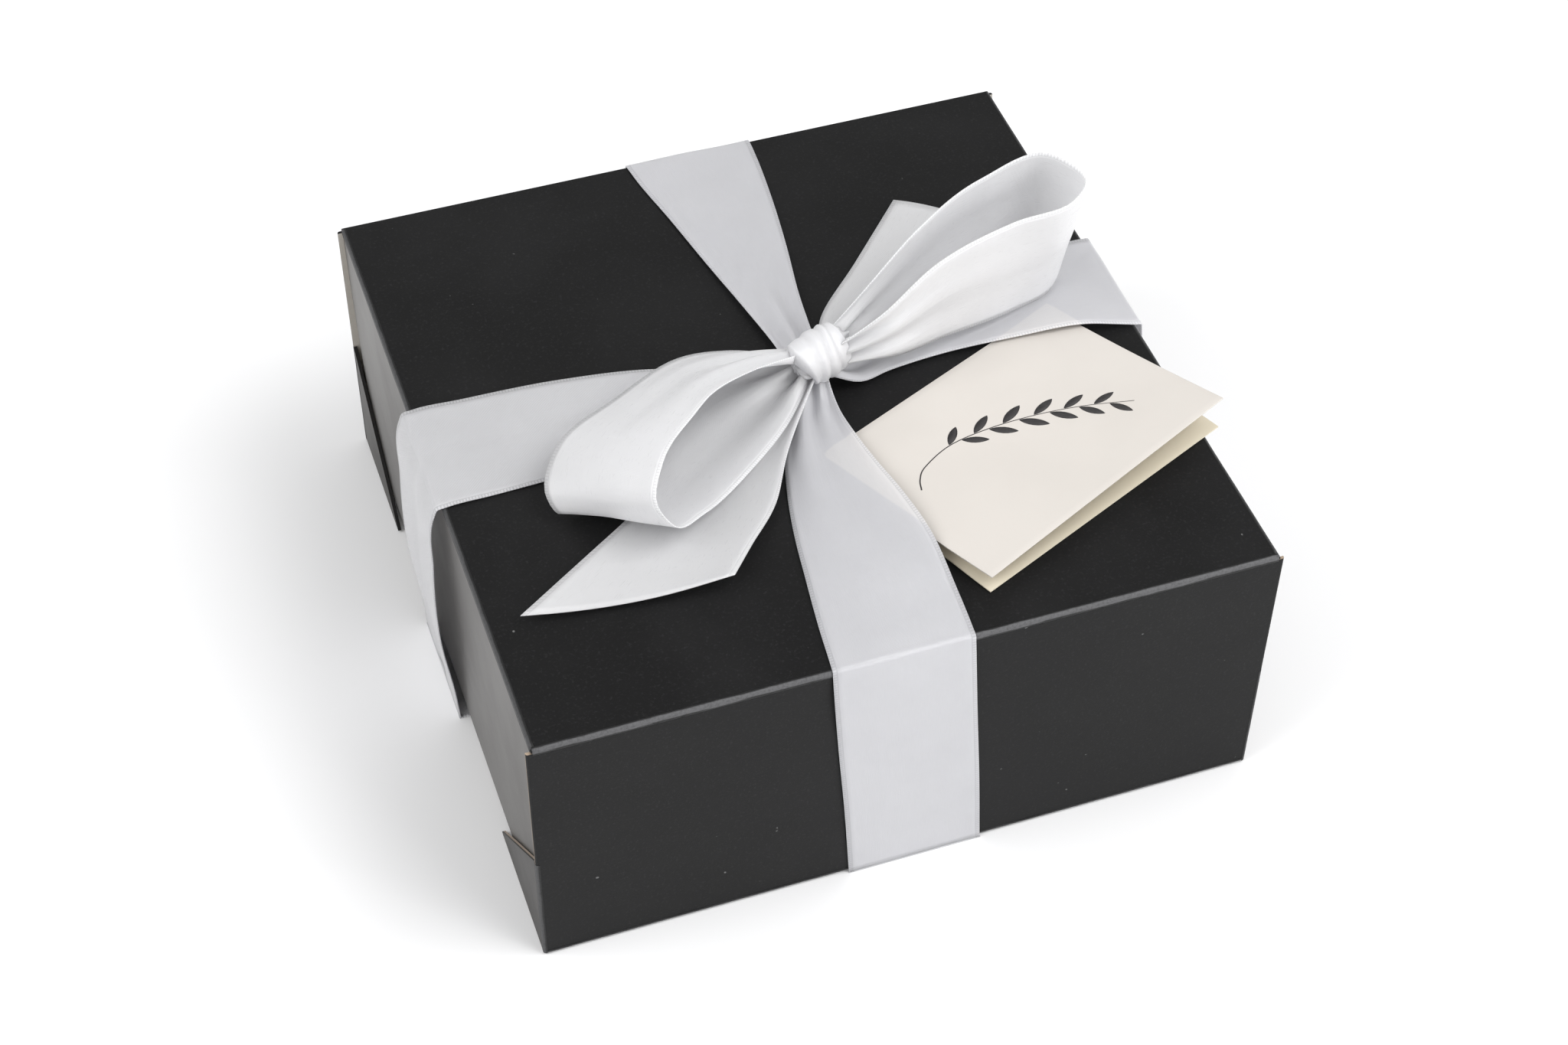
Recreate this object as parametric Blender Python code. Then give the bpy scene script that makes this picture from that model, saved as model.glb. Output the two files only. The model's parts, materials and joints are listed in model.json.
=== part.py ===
"""A square folding-carton gift box tied with a satin ribbon and bow, with a folded card tucked under it.

Metres, +Z up. The origin is the middle of the underside, where the ribbon's cross meets the table.
+X runs to the right along the hinge side, +Y from the hinge side to the opening side.
"""
import math

import bmesh
import bpy
from mathutils import Matrix, Vector

# Driving dimensions of the carton
BOX_WIDTH = 0.203            # outside, along X
BOX_DEPTH = 0.203            # outside, along Y
BOX_HEIGHT = 0.0846          # underside of the base to the top of the lid
BOARD = 0.001                # thickness of the carton board
TAB_HEIGHT = 0.039           # corner tab, up the corner
TAB_LENGTH = 0.041           # corner tab, along the bottom
TUCK_DEPTH = 0.024           # lid tuck flap
SIDE_FLAP_DEPTH = 0.078      # lid side flaps
DUST_FLAP_LENGTH = 0.046     # inner flaps folded from the side walls behind the far wall
DUST_FLAP_ROUND = 0.012      # their free upper corner
TUCK_ROUND = 0.014           # the tuck flap's free corners
TUCK_INSET = 0.004           # tuck flap short of the side walls at each end

# Driving dimensions of the ribbon, the bow and the card
RIBBON_WIDTH = 0.038
RIBBON = 0.0005              # thickness of a ribbon run
BOW_RIBBON = 0.0007          # thickness of a loop or a tail
KNOT_SIZE = (0.017, 0.0135, 0.0175)
KNOT_LIFT = 0.00375          # underside of the knot above what lies on the lid
KNOT_TURN = 25               # degrees
CARD_LENGTH = 0.088          # along the fold
CARD_WIDTH = 0.0635          # from the fold to the open edge
CARD_PAPER = 0.0004
CARD_RISE_NEAR = 0.0048      # how far the open edge stands up at its near corner
CARD_RISE_FAR = 0.0100       # and at its far corner

# Clearances
FOLD_GAP = 0.0003            # between two pieces of board at a fold
PLY_GAP = 0.0003             # between two layers that lie on each other
TUCK_CLEARANCE = 0.0008      # tuck flap behind the far wall
RUN_GAP = 0.0003             # between two lengths of the ribbon
EDGE_CATCH = 1e-6            # how near a vertex is to a plane to count as on it

# Worked out from the sizes above
HALF_X = BOX_WIDTH / 2
HALF_Y = BOX_DEPTH / 2
BASE_Z = RIBBON + RUN_GAP
TOP_Z = BASE_Z + BOX_HEIGHT
PLY = BOARD + PLY_GAP
LID_HALF_X = HALF_X - PLY
WALL_HALF_X = HALF_X - 2 * PLY
FLOOR_Z = BASE_Z + BOARD
WALL_TOP_Z = TOP_Z - BOARD - FOLD_GAP
LID_TOP = TOP_Z + RUN_GAP    # what lies on the lid starts here
TUCK_Y = HALF_Y - BOARD - TUCK_CLEARANCE

# Where the runs of the ribbon cross the edges of the lid
NEAR_RUN_TOP = -0.0036
NEAR_RUN_FOOT = 0.0028
FAR_RUN_X = 0.0044
LEFT_RUN_Y = 0.0025
RIGHT_RUN_Y = 0.0094

# Where a run changes its course: from the edge of the lid, and from the knot where it starts to gather
FAR_RUN_FLAT = 0.034
LEFT_RUN_FLAT = 0.042
RIGHT_RUN_FLAT = 0.017
RIGHT_RUN_BEND = 0.037
GATHER_ALONG = 0.033         # the near and far runs
GATHER_LEFT = 0.038
GATHER_RIGHT = 0.034

# The knot stands a little nearer than the middle of the lid
KNOT_CENTRE = Vector((0.008, -0.005, LID_TOP + KNOT_LIFT + KNOT_SIZE[2] / 2))
LEFT_OF_KNOT = Vector((KNOT_CENTRE.x - KNOT_SIZE[0] / 2, KNOT_CENTRE.y, LID_TOP))
RIGHT_OF_KNOT = Vector((KNOT_CENTRE.x + KNOT_SIZE[0] / 2, KNOT_CENTRE.y, LID_TOP))
BEHIND_KNOT = Vector((KNOT_CENTRE.x, KNOT_CENTRE.y + KNOT_SIZE[1] / 2, LID_TOP))

# The card: a corner at the near end of its fold, and the two directions of its edges
CARD_CORNER = Vector((-0.0015, -0.0315, 0))
CARD_ALONG = Vector((0.913, 0.407, 0)).normalized()
CARD_OUT = Vector((CARD_ALONG.y, -CARD_ALONG.x, 0))
CARD_FOLD_Z = LID_TOP + CARD_PAPER + PLY_GAP / 2

INK = (0.035, 0.035, 0.038, 1)
CREAM = (0.84, 0.79, 0.70, 1)
SATIN = (0.86, 0.86, 0.88, 1)


def clear_scene():
    for obj in list(bpy.data.objects):
        bpy.data.objects.remove(obj, do_unlink=True)


def new_collection(name):
    made = bpy.data.collections.new(name)
    bpy.context.scene.collection.children.link(made)
    return made


def material(name, colour, roughness, metallic=0.0):
    made = bpy.data.materials.new(name)
    made.use_nodes = True
    made.diffuse_color = colour
    shader = made.node_tree.nodes["Principled BSDF"]
    shader.inputs["Base Color"].default_value = colour
    shader.inputs["Roughness"].default_value = roughness
    shader.inputs["Metallic"].default_value = metallic
    return made


def add_mesh(name, bm, mat, parent):
    """Makes the bmesh an object whose origin is on its parent."""
    bmesh.ops.recalc_face_normals(bm, faces=bm.faces)
    mesh = bpy.data.meshes.new(name)
    if parent is not None:
        bm.transform(Matrix.Translation(-parent.location))
    bm.to_mesh(mesh)
    bm.free()
    mesh.materials.append(mat)
    mesh.shade_smooth()
    mesh.set_sharp_from_angle(angle=math.radians(35))
    obj = bpy.data.objects.new(name, mesh)
    obj.parent = parent
    PARTS.objects.link(obj)
    return obj


def add_axis(name, location, parent=None):
    """An empty on a joint's axis. Empties are parented without rotation, so places add up."""
    empty = bpy.data.objects.new(name, None)
    empty.location = location
    empty.empty_display_size = 0.02
    PARTS.objects.link(empty)
    if parent is not None:
        empty.parent = parent
        empty.matrix_parent_inverse = Matrix.Translation(-parent.location)
    return empty


def slab(outline, axis, low, high):
    """A closed plate: the outline, in the two other axes in order, extruded along axis from low to high."""
    bm = bmesh.new()
    verts = []
    for a, b in outline:
        place = [a, b]
        place.insert("XYZ".index(axis), low)
        verts.append(bm.verts.new(place))
    face = bm.faces.new(verts)
    step = Vector([high - low if letter == axis else 0 for letter in "XYZ"])
    grown = bmesh.ops.extrude_face_region(bm, geom=[face])
    moved = [item for item in grown["geom"] if isinstance(item, bmesh.types.BMVert)]
    bmesh.ops.translate(bm, verts=moved, vec=step)
    return bm


def rectangle(a0, a1, b0, b1):
    return [(a0, b0), (a1, b0), (a1, b1), (a0, b1)]


def round_corner(outline, index, radius, steps=6):
    """The outline with one corner replaced by an arc-like curve of that radius."""
    corner = Vector(outline[index])
    before = Vector(outline[index - 1])
    after = Vector(outline[(index + 1) % len(outline)])
    start = corner + (before - corner).normalized() * radius
    end = corner + (after - corner).normalized() * radius
    curve = []
    for i in range(steps + 1):
        t = i / steps
        point = start * (1 - t) ** 2 + corner * 2 * t * (1 - t) + end * t ** 2
        curve.append(tuple(point))
    return outline[:index] + curve + outline[index + 1:]


def smooth_point(points, t):
    """A point at t, 0 to 1, on a smooth curve through the points."""
    last = len(points) - 1
    place = min(t * last, last - 1e-9)
    i = int(place)
    f = place - i
    p1, p2 = points[i], points[i + 1]
    p0 = points[i - 1] if i > 0 else p1 * 2 - p2
    p3 = points[i + 2] if i + 2 <= last else p2 * 2 - p1
    a = p1 * 2
    b = p2 - p0
    c = p0 * 2 - p1 * 5 + p2 * 4 - p3
    d = p1 * 3 - p0 - p2 * 3 + p3
    return (a + b * f + c * f ** 2 + d * f ** 3) / 2


def strip(name, rims, thickness, steps, mat, parent, across=2):
    """A ribbon: a closed sheet between two smooth rims, each rim a list of points."""
    first = [Vector(a) for a, _ in rims]
    second = [Vector(b) for _, b in rims]
    bm = bmesh.new()
    rows = []
    for i in range(steps + 1):
        t = i / steps
        a, b = smooth_point(first, t), smooth_point(second, t)
        ahead, behind = min(t + 0.01, 1), max(t - 0.01, 0)
        along = (
            smooth_point(first, ahead) + smooth_point(second, ahead)
            - smooth_point(first, behind) - smooth_point(second, behind)
        )
        lift = along.cross(b - a).normalized() * thickness / 2
        ring = [a.lerp(b, j / across) + lift for j in range(across + 1)]
        ring += [a.lerp(b, j / across) - lift for j in range(across, -1, -1)]
        rows.append([bm.verts.new(p) for p in ring])
    for near, far in zip(rows, rows[1:]):
        for j in range(len(near)):
            k = (j + 1) % len(near)
            bm.faces.new((near[j], near[k], far[k], far[j]))
    bm.faces.new(rows[0])
    bm.faces.new(list(reversed(rows[-1])))
    bmesh.ops.triangulate(bm, faces=bm.faces)
    return add_mesh(name, bm, mat, parent)


# ---- carton ----

def make_base(mat):
    inset = BOARD + FOLD_GAP
    outline = rectangle(-WALL_HALF_X + inset, WALL_HALF_X - inset, -HALF_Y + inset, HALF_Y - inset)
    add_mesh("base_panel", slab(outline, "Z", BASE_Z, FLOOR_Z), mat, None)


def soften(bm, wanted, width, segments=3):
    """Rounds the edges that wanted() picks by their two ends."""
    edges = [e for e in bm.edges if wanted(e.verts[0].co, e.verts[1].co)]
    bmesh.ops.bevel(
        bm, geom=edges, offset=width, offset_type="OFFSET", affect="EDGES",
        segments=segments, profile=0.5, clamp_overlap=True,
    )


def make_end_walls(mat):
    """They cover the ends of the side walls and of the lid's side flaps."""
    outline = rectangle(-HALF_X, HALF_X, BASE_Z, WALL_TOP_Z)
    for name, side in (("hinge_wall", -1), ("far_wall", 1)):
        low, high = sorted((side * HALF_Y, side * (HALF_Y - BOARD)))
        bm = slab(outline, "Y", low, high)
        outer = side * HALF_Y

        def folded(a, b, outer=outer):
            on_face = abs(a.y - outer) < EDGE_CATCH and abs(b.y - outer) < EDGE_CATCH
            upright = abs(a.x - b.x) < EDGE_CATCH and abs(abs(a.x) - HALF_X) < EDGE_CATCH
            bottom = abs(a.z - BASE_Z) < EDGE_CATCH and abs(b.z - BASE_Z) < EDGE_CATCH
            return on_face and (upright or bottom)

        soften(bm, folded, BOARD * 0.7)
        add_mesh(name, bm, mat, None)


def make_corner_tabs(mat):
    """Three-cornered tabs that fold round from the end walls and lock the lid's side flaps."""
    start = HALF_Y - BOARD - FOLD_GAP
    for end, sy in (("near", -1), ("far", 1)):
        outline = [
            (sy * start, BASE_Z),
            (sy * (start - TAB_LENGTH), BASE_Z),
            (sy * start, BASE_Z + TAB_HEIGHT),
        ]
        for side, sx in (("left", -1), ("right", 1)):
            low, high = sorted((sx * HALF_X, sx * (HALF_X - BOARD)))
            add_mesh(f"corner_tab_{end}_{side}", slab(outline, "X", low, high), mat, None)


def make_side_walls(mat):
    """They stand inside the lid's side flaps, and their dust flaps turn in behind the far wall."""
    inner_y = HALF_Y - BOARD - FOLD_GAP
    outline = rectangle(-inner_y, inner_y, BASE_Z, WALL_TOP_Z)
    dust_y = inner_y - TUCK_CLEARANCE * 2 - BOARD * 2
    flap = rectangle(0, DUST_FLAP_LENGTH, FLOOR_Z + FOLD_GAP, WALL_TOP_Z - BOARD)
    flap = round_corner(flap, 2, DUST_FLAP_ROUND)
    for side, sx in (("left", -1), ("right", 1)):
        low, high = sorted((sx * WALL_HALF_X, sx * (WALL_HALF_X - BOARD)))
        add_mesh(f"{side}_side_wall", slab(outline, "X", low, high), mat, None)
        edge = WALL_HALF_X - BOARD - FOLD_GAP
        turned = [(sx * (edge - a), b) for a, b in flap]
        bm = slab(turned, "Y", dust_y - BOARD, dust_y)
        add_mesh(f"{side}_dust_flap", bm, mat, None)


def make_lid(mat, axis):
    """The lid panel, rounded along its hinge crease and its two side creases."""
    outline = rectangle(-LID_HALF_X, LID_HALF_X, -HALF_Y, HALF_Y)
    bm = slab(outline, "Z", TOP_Z - BOARD, TOP_Z)

    def on_top(a, b):
        top = abs(a.z - TOP_Z) < EDGE_CATCH and abs(b.z - TOP_Z) < EDGE_CATCH
        side = abs(a.x - b.x) < EDGE_CATCH and abs(abs(a.x) - LID_HALF_X) < EDGE_CATCH
        ends = abs(a.y - b.y) < EDGE_CATCH and abs(abs(a.y) - HALF_Y) < EDGE_CATCH
        return top and (side or ends)

    soften(bm, on_top, BOARD * 0.85)
    add_mesh("lid_panel", bm, mat, axis)


def side_flap_outline():
    """The far edge is an arc about the hinge, so that the flap swings clear of the far wall."""
    top = TOP_Z - BOARD - FOLD_GAP
    low = TOP_Z - SIDE_FLAP_DEPTH
    near = -HALF_Y + BOARD + FOLD_GAP
    reach = BOX_DEPTH - 2 * BOARD - FOLD_GAP
    outline = [(near, top), (near, low)]
    first = math.asin((TOP_Z - low) / reach)
    last = math.asin((TOP_Z - top) / reach)
    for i in range(9):
        angle = first + (last - first) * i / 8
        outline.append((-HALF_Y + reach * math.cos(angle), TOP_Z - reach * math.sin(angle)))
    return outline


def make_side_flaps(mat, axis):
    outline = side_flap_outline()
    for side, sx in (("left", -1), ("right", 1)):
        low, high = sorted((sx * LID_HALF_X, sx * (LID_HALF_X - BOARD)))
        add_mesh(f"lid_{side}_flap", slab(outline, "X", low, high), mat, axis)


def make_tuck_flap(mat, axis):
    """Folds down from the lid's far edge, inside the far wall."""
    half = WALL_HALF_X - BOARD - TUCK_INSET
    top = TOP_Z - BOARD - FOLD_GAP
    outline = rectangle(-half, half, top - TUCK_DEPTH, top)
    outline = round_corner(outline, 1, TUCK_ROUND)
    outline = round_corner(outline, 0, TUCK_ROUND)
    add_mesh("lid_tuck_flap", slab(outline, "Y", TUCK_Y - BOARD, TUCK_Y), mat, axis)


# ---- ribbon ----

def make_under_runs(mat):
    """The cross under the box: one run right through, and one in two halves that butt against it."""
    near_x, far_x = NEAR_RUN_FOOT, FAR_RUN_X
    half = RIBBON_WIDTH / 2
    reach = HALF_Y + RUN_GAP + RIBBON
    outline = [(near_x - half, -reach), (near_x + half, -reach), (far_x + half, reach), (far_x - half, reach)]
    add_mesh("ribbon_underside_lengthwise", slab(outline, "Z", 0, RIBBON), mat, None)
    reach = HALF_X + RUN_GAP + RIBBON
    middle = (near_x + far_x) / 2
    slope = (far_x - near_x) / (2 * HALF_Y)
    for side, sx, centre in (("left", -1, LEFT_RUN_Y), ("right", 1, RIGHT_RUN_Y)):
        low, high = centre - half, centre + half
        inner = half + RUN_GAP * 2
        outline = [
            (sx * reach, low), (sx * reach, high),
            (middle + slope * high + sx * inner, high), (middle + slope * low + sx * inner, low),
        ]
        add_mesh(f"ribbon_underside_{side}", slab(outline, "Z", 0, RIBBON), mat, None)


def make_wall_runs(mat, axis):
    """The four lengths that hang down the walls."""
    low = RIBBON + RUN_GAP
    high = LID_TOP - RUN_GAP * 2
    half = RIBBON_WIDTH / 2
    out = HALF_Y + RUN_GAP
    for name, side, top, foot in (
        ("ribbon_near_wall_run", -1, NEAR_RUN_TOP, NEAR_RUN_FOOT),
        ("ribbon_far_wall_run", 1, FAR_RUN_X, FAR_RUN_X),
    ):
        outline = [(foot - half, low), (foot + half, low), (top + half, high), (top - half, high)]
        near, far = sorted((side * out, side * (out + RIBBON)))
        add_mesh(name, slab(outline, "Y", near, far), mat, axis)
    out = HALF_X + RUN_GAP
    for name, side, y in (
        ("ribbon_left_wall_run", -1, LEFT_RUN_Y),
        ("ribbon_right_wall_run", 1, RIGHT_RUN_Y),
    ):
        outline = rectangle(y - half, y + half, low, high)
        near, far = sorted((side * out, side * (out + RIBBON)))
        add_mesh(name, slab(outline, "X", near, far), mat, axis)


def card_top(x, y):
    """What lies on the card starts at this height. The front leaf's face is carried on past its edges."""
    place = Vector((x, y, 0)) - CARD_CORNER
    u = place.dot(CARD_ALONG) / CARD_LENGTH
    v = max(place.dot(CARD_OUT) / CARD_WIDTH, 0)
    rise = (CARD_RISE_NEAR + (CARD_RISE_FAR - CARD_RISE_NEAR) * u) * v
    return CARD_FOLD_Z + PLY_GAP / 2 + rise + CARD_PAPER + RUN_GAP


def over_card(x, y):
    """Whether the card is under this place or within an eighth of the ribbon's width of it."""
    place = Vector((x, y, 0)) - CARD_CORNER
    along, out = place.dot(CARD_ALONG), place.dot(CARD_OUT)
    margin = RIBBON_WIDTH / 8
    return -margin < along < CARD_LENGTH + margin and -margin < out < CARD_WIDTH + margin


def rim(x, y, lift=RIBBON / 2):
    """A point on a run's rim, lifted from the lid, or from the card where the run passes over it."""
    return x, y, (card_top(x, y) if over_card(x, y) else LID_TOP) + lift


def make_top_runs(mat, axis):
    """From each edge of the lid to the knot, gathering as they rise to it."""
    half = RIBBON_WIDTH / 2
    edge_x = HALF_X + RUN_GAP + RIBBON
    edge_y = HALF_Y + RUN_GAP + RIBBON
    kx, ky, kz = KNOT_CENTRE
    foot = kz - KNOT_SIZE[2] / 2 - RUN_GAP * 2 - RIBBON
    x, y = NEAR_RUN_TOP, -edge_y
    off_card = CARD_CORNER.y + CARD_OUT.y * (x + half - CARD_CORNER.x) / CARD_OUT.x
    bend = max(off_card, y + RIBBON_WIDTH / 4)
    near = [
        (rim(x - half, y), rim(x + half, y)),
        (rim(x - half * 0.8, bend, 0.0010), rim(x + half, bend, 0.0016)),
        (rim(x - half * 0.5, ky - GATHER_ALONG, 0.0010), rim(x + half * 0.75, ky - GATHER_ALONG, 0.0027)),
        ((kx - 0.008, ky - 0.004, foot), (kx + 0.001, ky - 0.004, foot)),
    ]
    x, y = FAR_RUN_X, edge_y
    far = [
        (rim(x - half, y), rim(x + half, y)),
        (rim(x - half * 0.66, y - FAR_RUN_FLAT, 0.0008), rim(x + half * 0.86, y - FAR_RUN_FLAT, 0.0008)),
        (rim(x - half * 0.3, ky + GATHER_ALONG, 0.0015), rim(x + half * 0.5, ky + GATHER_ALONG, 0.0015)),
        ((kx - 0.006, ky + 0.003, foot), (kx + 0.003, ky + 0.003, foot)),
    ]
    x, y = -edge_x, LEFT_RUN_Y
    left = [
        (rim(x, y + half), rim(x, y - half)),
        (rim(x + LEFT_RUN_FLAT, y + half * 0.95, 0.0008), rim(x + LEFT_RUN_FLAT, y - half * 0.95, 0.0008)),
        (rim(kx - GATHER_LEFT, y + half * 0.7, 0.0010), rim(kx - GATHER_LEFT, y - half * 0.7, 0.0010)),
        ((kx - 0.009, ky + 0.004, foot), (kx - 0.009, ky - 0.0035, foot)),
    ]
    x, y = edge_x, RIGHT_RUN_Y
    right = [
        (rim(x, y + half), rim(x, y - half)),
        (rim(x - RIGHT_RUN_FLAT, y + half, 0.0006), rim(x - RIGHT_RUN_FLAT, y - half * 0.95, 0.0006)),
        (rim(x - RIGHT_RUN_BEND, y + half * 0.85, 0.0006), rim(x - RIGHT_RUN_BEND, y - half * 0.8, 0.0010)),
        (rim(kx + GATHER_RIGHT, y + half * 0.4, 0.0008), rim(kx + GATHER_RIGHT, y - half * 0.7, 0.0012)),
        ((kx + 0.008, ky + 0.006, foot), (kx + 0.008, ky - 0.004, foot)),
    ]
    for name, rims in (("near", near), ("far", far), ("left", left), ("right", right)):
        strip(f"ribbon_{name}_top_run", rims, RIBBON, 14, mat, axis)


def make_knot(mat, axis):
    bm = bmesh.new()
    bmesh.ops.create_icosphere(bm, subdivisions=3, radius=0.5)
    bmesh.ops.scale(bm, vec=KNOT_SIZE, verts=bm.verts)
    bmesh.ops.rotate(bm, matrix=Matrix.Rotation(math.radians(KNOT_TURN), 3, "Z"), verts=bm.verts)
    bmesh.ops.translate(bm, vec=KNOT_CENTRE, verts=bm.verts)
    add_mesh("bow_knot", bm, mat, axis)


def make_bow(mat, axis):
    """Two loops and two tails, each a sheet between hand-placed rims."""
    for name, rims, origin, steps in (
        ("bow_left_loop", LEFT_LOOP, LEFT_OF_KNOT, 40),
        ("bow_right_loop", RIGHT_LOOP, RIGHT_OF_KNOT, 40),
        ("bow_left_tail", LEFT_TAIL, LEFT_OF_KNOT, 20),
        ("bow_right_tail", RIGHT_TAIL, BEHIND_KNOT, 20),
    ):
        placed = [[origin + Vector(p) / 1000 for p in pair] for pair in rims]
        strip(name, placed, BOW_RIBBON, steps, mat, axis)


# ---- card ----

def card_place(along, out, up):
    """From the card's own directions, along the fold and out from it, to the world."""
    return CARD_CORNER + CARD_ALONG * along + CARD_OUT * out + Vector((0, 0, up))


def card_leaf(name, rise_near, rise_far, base, mat, parent):
    """A leaf whose outer edge stands off by rise_near at its near end and rise_far at its far end."""
    nu, nv = 10, 6
    bm = bmesh.new()
    layers = []
    for lift in (0, CARD_PAPER):
        layer = []
        for i in range(nu + 1):
            row = []
            for j in range(nv + 1):
                u, v = i / nu, j / nv
                rise = (rise_near + (rise_far - rise_near) * u) * v
                place = card_place(u * CARD_LENGTH, v * CARD_WIDTH, base + rise + lift)
                row.append(bm.verts.new(place))
            layer.append(row)
        layers.append(layer)
    low, high = layers
    for i in range(nu):
        for j in range(nv):
            bm.faces.new((low[i][j], low[i][j + 1], low[i + 1][j + 1], low[i + 1][j]))
            bm.faces.new((high[i][j], high[i + 1][j], high[i + 1][j + 1], high[i][j + 1]))
    border = [(i, 0) for i in range(nu)] + [(nu, j) for j in range(nv)]
    border += [(i, nv) for i in range(nu, 0, -1)] + [(0, j) for j in range(nv, 0, -1)]
    for k, (i, j) in enumerate(border):
        m, n = border[(k + 1) % len(border)]
        bm.faces.new((low[i][j], low[m][n], high[m][n], high[i][j]))
    bmesh.ops.triangulate(bm, faces=bm.faces)
    add_mesh(name, bm, mat, parent)


def make_card(mat, card_axis, fold_axis):
    card_leaf("card_back_leaf", 0, 0, LID_TOP, mat, card_axis)
    card_leaf("card_front_leaf", CARD_RISE_NEAR, CARD_RISE_FAR, CARD_FOLD_Z + PLY_GAP / 2, mat, fold_axis)


# Rims of the bow in millimetres, one pair of points for each place along the ribbon: the left ones from
# LEFT_OF_KNOT, the right loop from RIGHT_OF_KNOT, the right tail from BEHIND_KNOT
LEFT_LOOP = [
    ((-1, 3, 14), (1, -5, 15.5)),
    ((-13.5, 10, 13), (-13.5, -12, 24)),
    ((-27.5, 14, 10), (-25.5, -19, 28)),
    ((-48.5, 3, 11), (-35.5, -28, 30)),
    ((-67.5, -9, 11), (-47.5, -39, 27)),
    ((-74.5, -21, 7), (-51.5, -47, 20)),
    ((-72.5, -26, 3.2), (-47.5, -48, 12.5)),
    ((-60.5, -17, 2.8), (-37.5, -42, 8)),
    ((-43.5, 0, 3), (-20.5, -29, 6)),
    ((-22.5, 7, 4), (-6.5, -17, 7)),
    ((-1.5, 3, 10), (0.5, -4, 10)),
]
RIGHT_LOOP = [
    ((1, -2, 16), (1, -2.5, 9)),
    ((7.5, -2, 25), (11.5, -3, 8)),
    ((24.5, 3, 33), (28.5, 2, 6)),
    ((49.5, 8, 37), (51.5, 8, 4)),
    ((67.5, 10, 38), (65.5, 14, 3.2)),
    ((73.5, 16, 39), (70.5, 21, 3.2)),
    ((67.5, 28, 40), (65.5, 29, 3.2)),
    ((47.5, 26, 38), (49.5, 26, 3.6)),
    ((25.5, 16, 34), (28.5, 16, 5)),
    ((7.5, 6.5, 25), (11.5, 7, 8)),
    ((0.5, 3, 16), (1, 3, 10)),
]
LEFT_TAIL = [
    ((-0.5, -4, 5), (2.5, -9, 5)),
    ((-15.5, -12, 3.2), (-8.5, -24, 4)),
    ((-37.5, -20, 1.4), (-17.5, -40, 3)),
    ((-61.5, -36, 1.8), (-28.5, -53, 4.2)),
    ((-91, -56.5, 3), (-36.5, -63, 6)),
]
RIGHT_TAIL = [
    ((3, 1.25, 6), (9, -0.75, 7)),
    ((9, 17.25, 2), (29, 6.25, 4)),
    ((26, 36.25, 1.5), (54, 13.25, 2.5)),
    ((46, 58.25, 1.8), (73, 31.25, 1.8)),
]

clear_scene()
PARTS = new_collection("gift_box")
BOARD_MAT = material("black_board", INK, 0.6)
RIBBON_MAT = material("white_satin", SATIN, 0.3)
CARD_MAT = material("cream_card", CREAM, 0.7)

make_base(BOARD_MAT)
make_end_walls(BOARD_MAT)
make_corner_tabs(BOARD_MAT)
make_side_walls(BOARD_MAT)
LID_AXIS = add_axis("lid_hinge_axis", (0, -HALF_Y, TOP_Z))
make_lid(BOARD_MAT, LID_AXIS)
make_side_flaps(BOARD_MAT, LID_AXIS)
TUCK_AXIS = add_axis("tuck_fold_axis", (0, TUCK_Y - BOARD, TOP_Z - BOARD - FOLD_GAP / 2), LID_AXIS)
make_tuck_flap(BOARD_MAT, TUCK_AXIS)
make_under_runs(RIBBON_MAT)
LIFT_AXIS = add_axis("ribbon_lift_axis", KNOT_CENTRE)
make_wall_runs(RIBBON_MAT, LIFT_AXIS)
make_top_runs(RIBBON_MAT, LIFT_AXIS)
make_knot(RIBBON_MAT, LIFT_AXIS)
make_bow(RIBBON_MAT, LIFT_AXIS)
CARD_AXIS = add_axis("card_slide_axis", CARD_CORNER + Vector((0, 0, LID_TOP)))
FOLD_AXIS = add_axis("card_fold_axis", CARD_CORNER + Vector((0, 0, CARD_FOLD_Z)))
make_card(CARD_MAT, CARD_AXIS, FOLD_AXIS)
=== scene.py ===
import json
import math

import bmesh
import bpy
from mathutils import Matrix, Vector, noise

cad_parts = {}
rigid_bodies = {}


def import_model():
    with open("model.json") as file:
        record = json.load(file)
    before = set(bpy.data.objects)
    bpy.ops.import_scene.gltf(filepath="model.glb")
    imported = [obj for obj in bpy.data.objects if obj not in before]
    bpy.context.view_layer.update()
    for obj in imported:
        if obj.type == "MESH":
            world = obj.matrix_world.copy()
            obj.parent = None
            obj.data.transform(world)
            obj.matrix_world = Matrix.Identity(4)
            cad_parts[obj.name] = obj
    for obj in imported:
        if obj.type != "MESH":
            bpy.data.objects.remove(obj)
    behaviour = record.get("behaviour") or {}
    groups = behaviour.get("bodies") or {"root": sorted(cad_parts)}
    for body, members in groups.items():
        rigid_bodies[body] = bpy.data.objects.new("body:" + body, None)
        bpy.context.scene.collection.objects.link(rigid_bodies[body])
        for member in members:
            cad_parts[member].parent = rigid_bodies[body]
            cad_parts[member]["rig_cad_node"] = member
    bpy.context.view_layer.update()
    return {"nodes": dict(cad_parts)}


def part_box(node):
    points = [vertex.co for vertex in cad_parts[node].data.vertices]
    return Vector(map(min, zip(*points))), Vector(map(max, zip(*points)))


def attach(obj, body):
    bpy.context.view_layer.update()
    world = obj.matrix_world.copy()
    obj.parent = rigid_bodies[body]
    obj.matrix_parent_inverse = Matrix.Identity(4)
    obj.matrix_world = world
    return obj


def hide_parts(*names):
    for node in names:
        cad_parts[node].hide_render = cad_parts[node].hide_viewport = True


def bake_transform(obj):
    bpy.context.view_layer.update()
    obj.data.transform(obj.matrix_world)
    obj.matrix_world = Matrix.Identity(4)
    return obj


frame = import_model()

for leftover in list(bpy.data.objects):
    if "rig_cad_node" not in leftover and not leftover.name.startswith("body:"):
        bpy.data.objects.remove(leftover, do_unlink=True)

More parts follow.
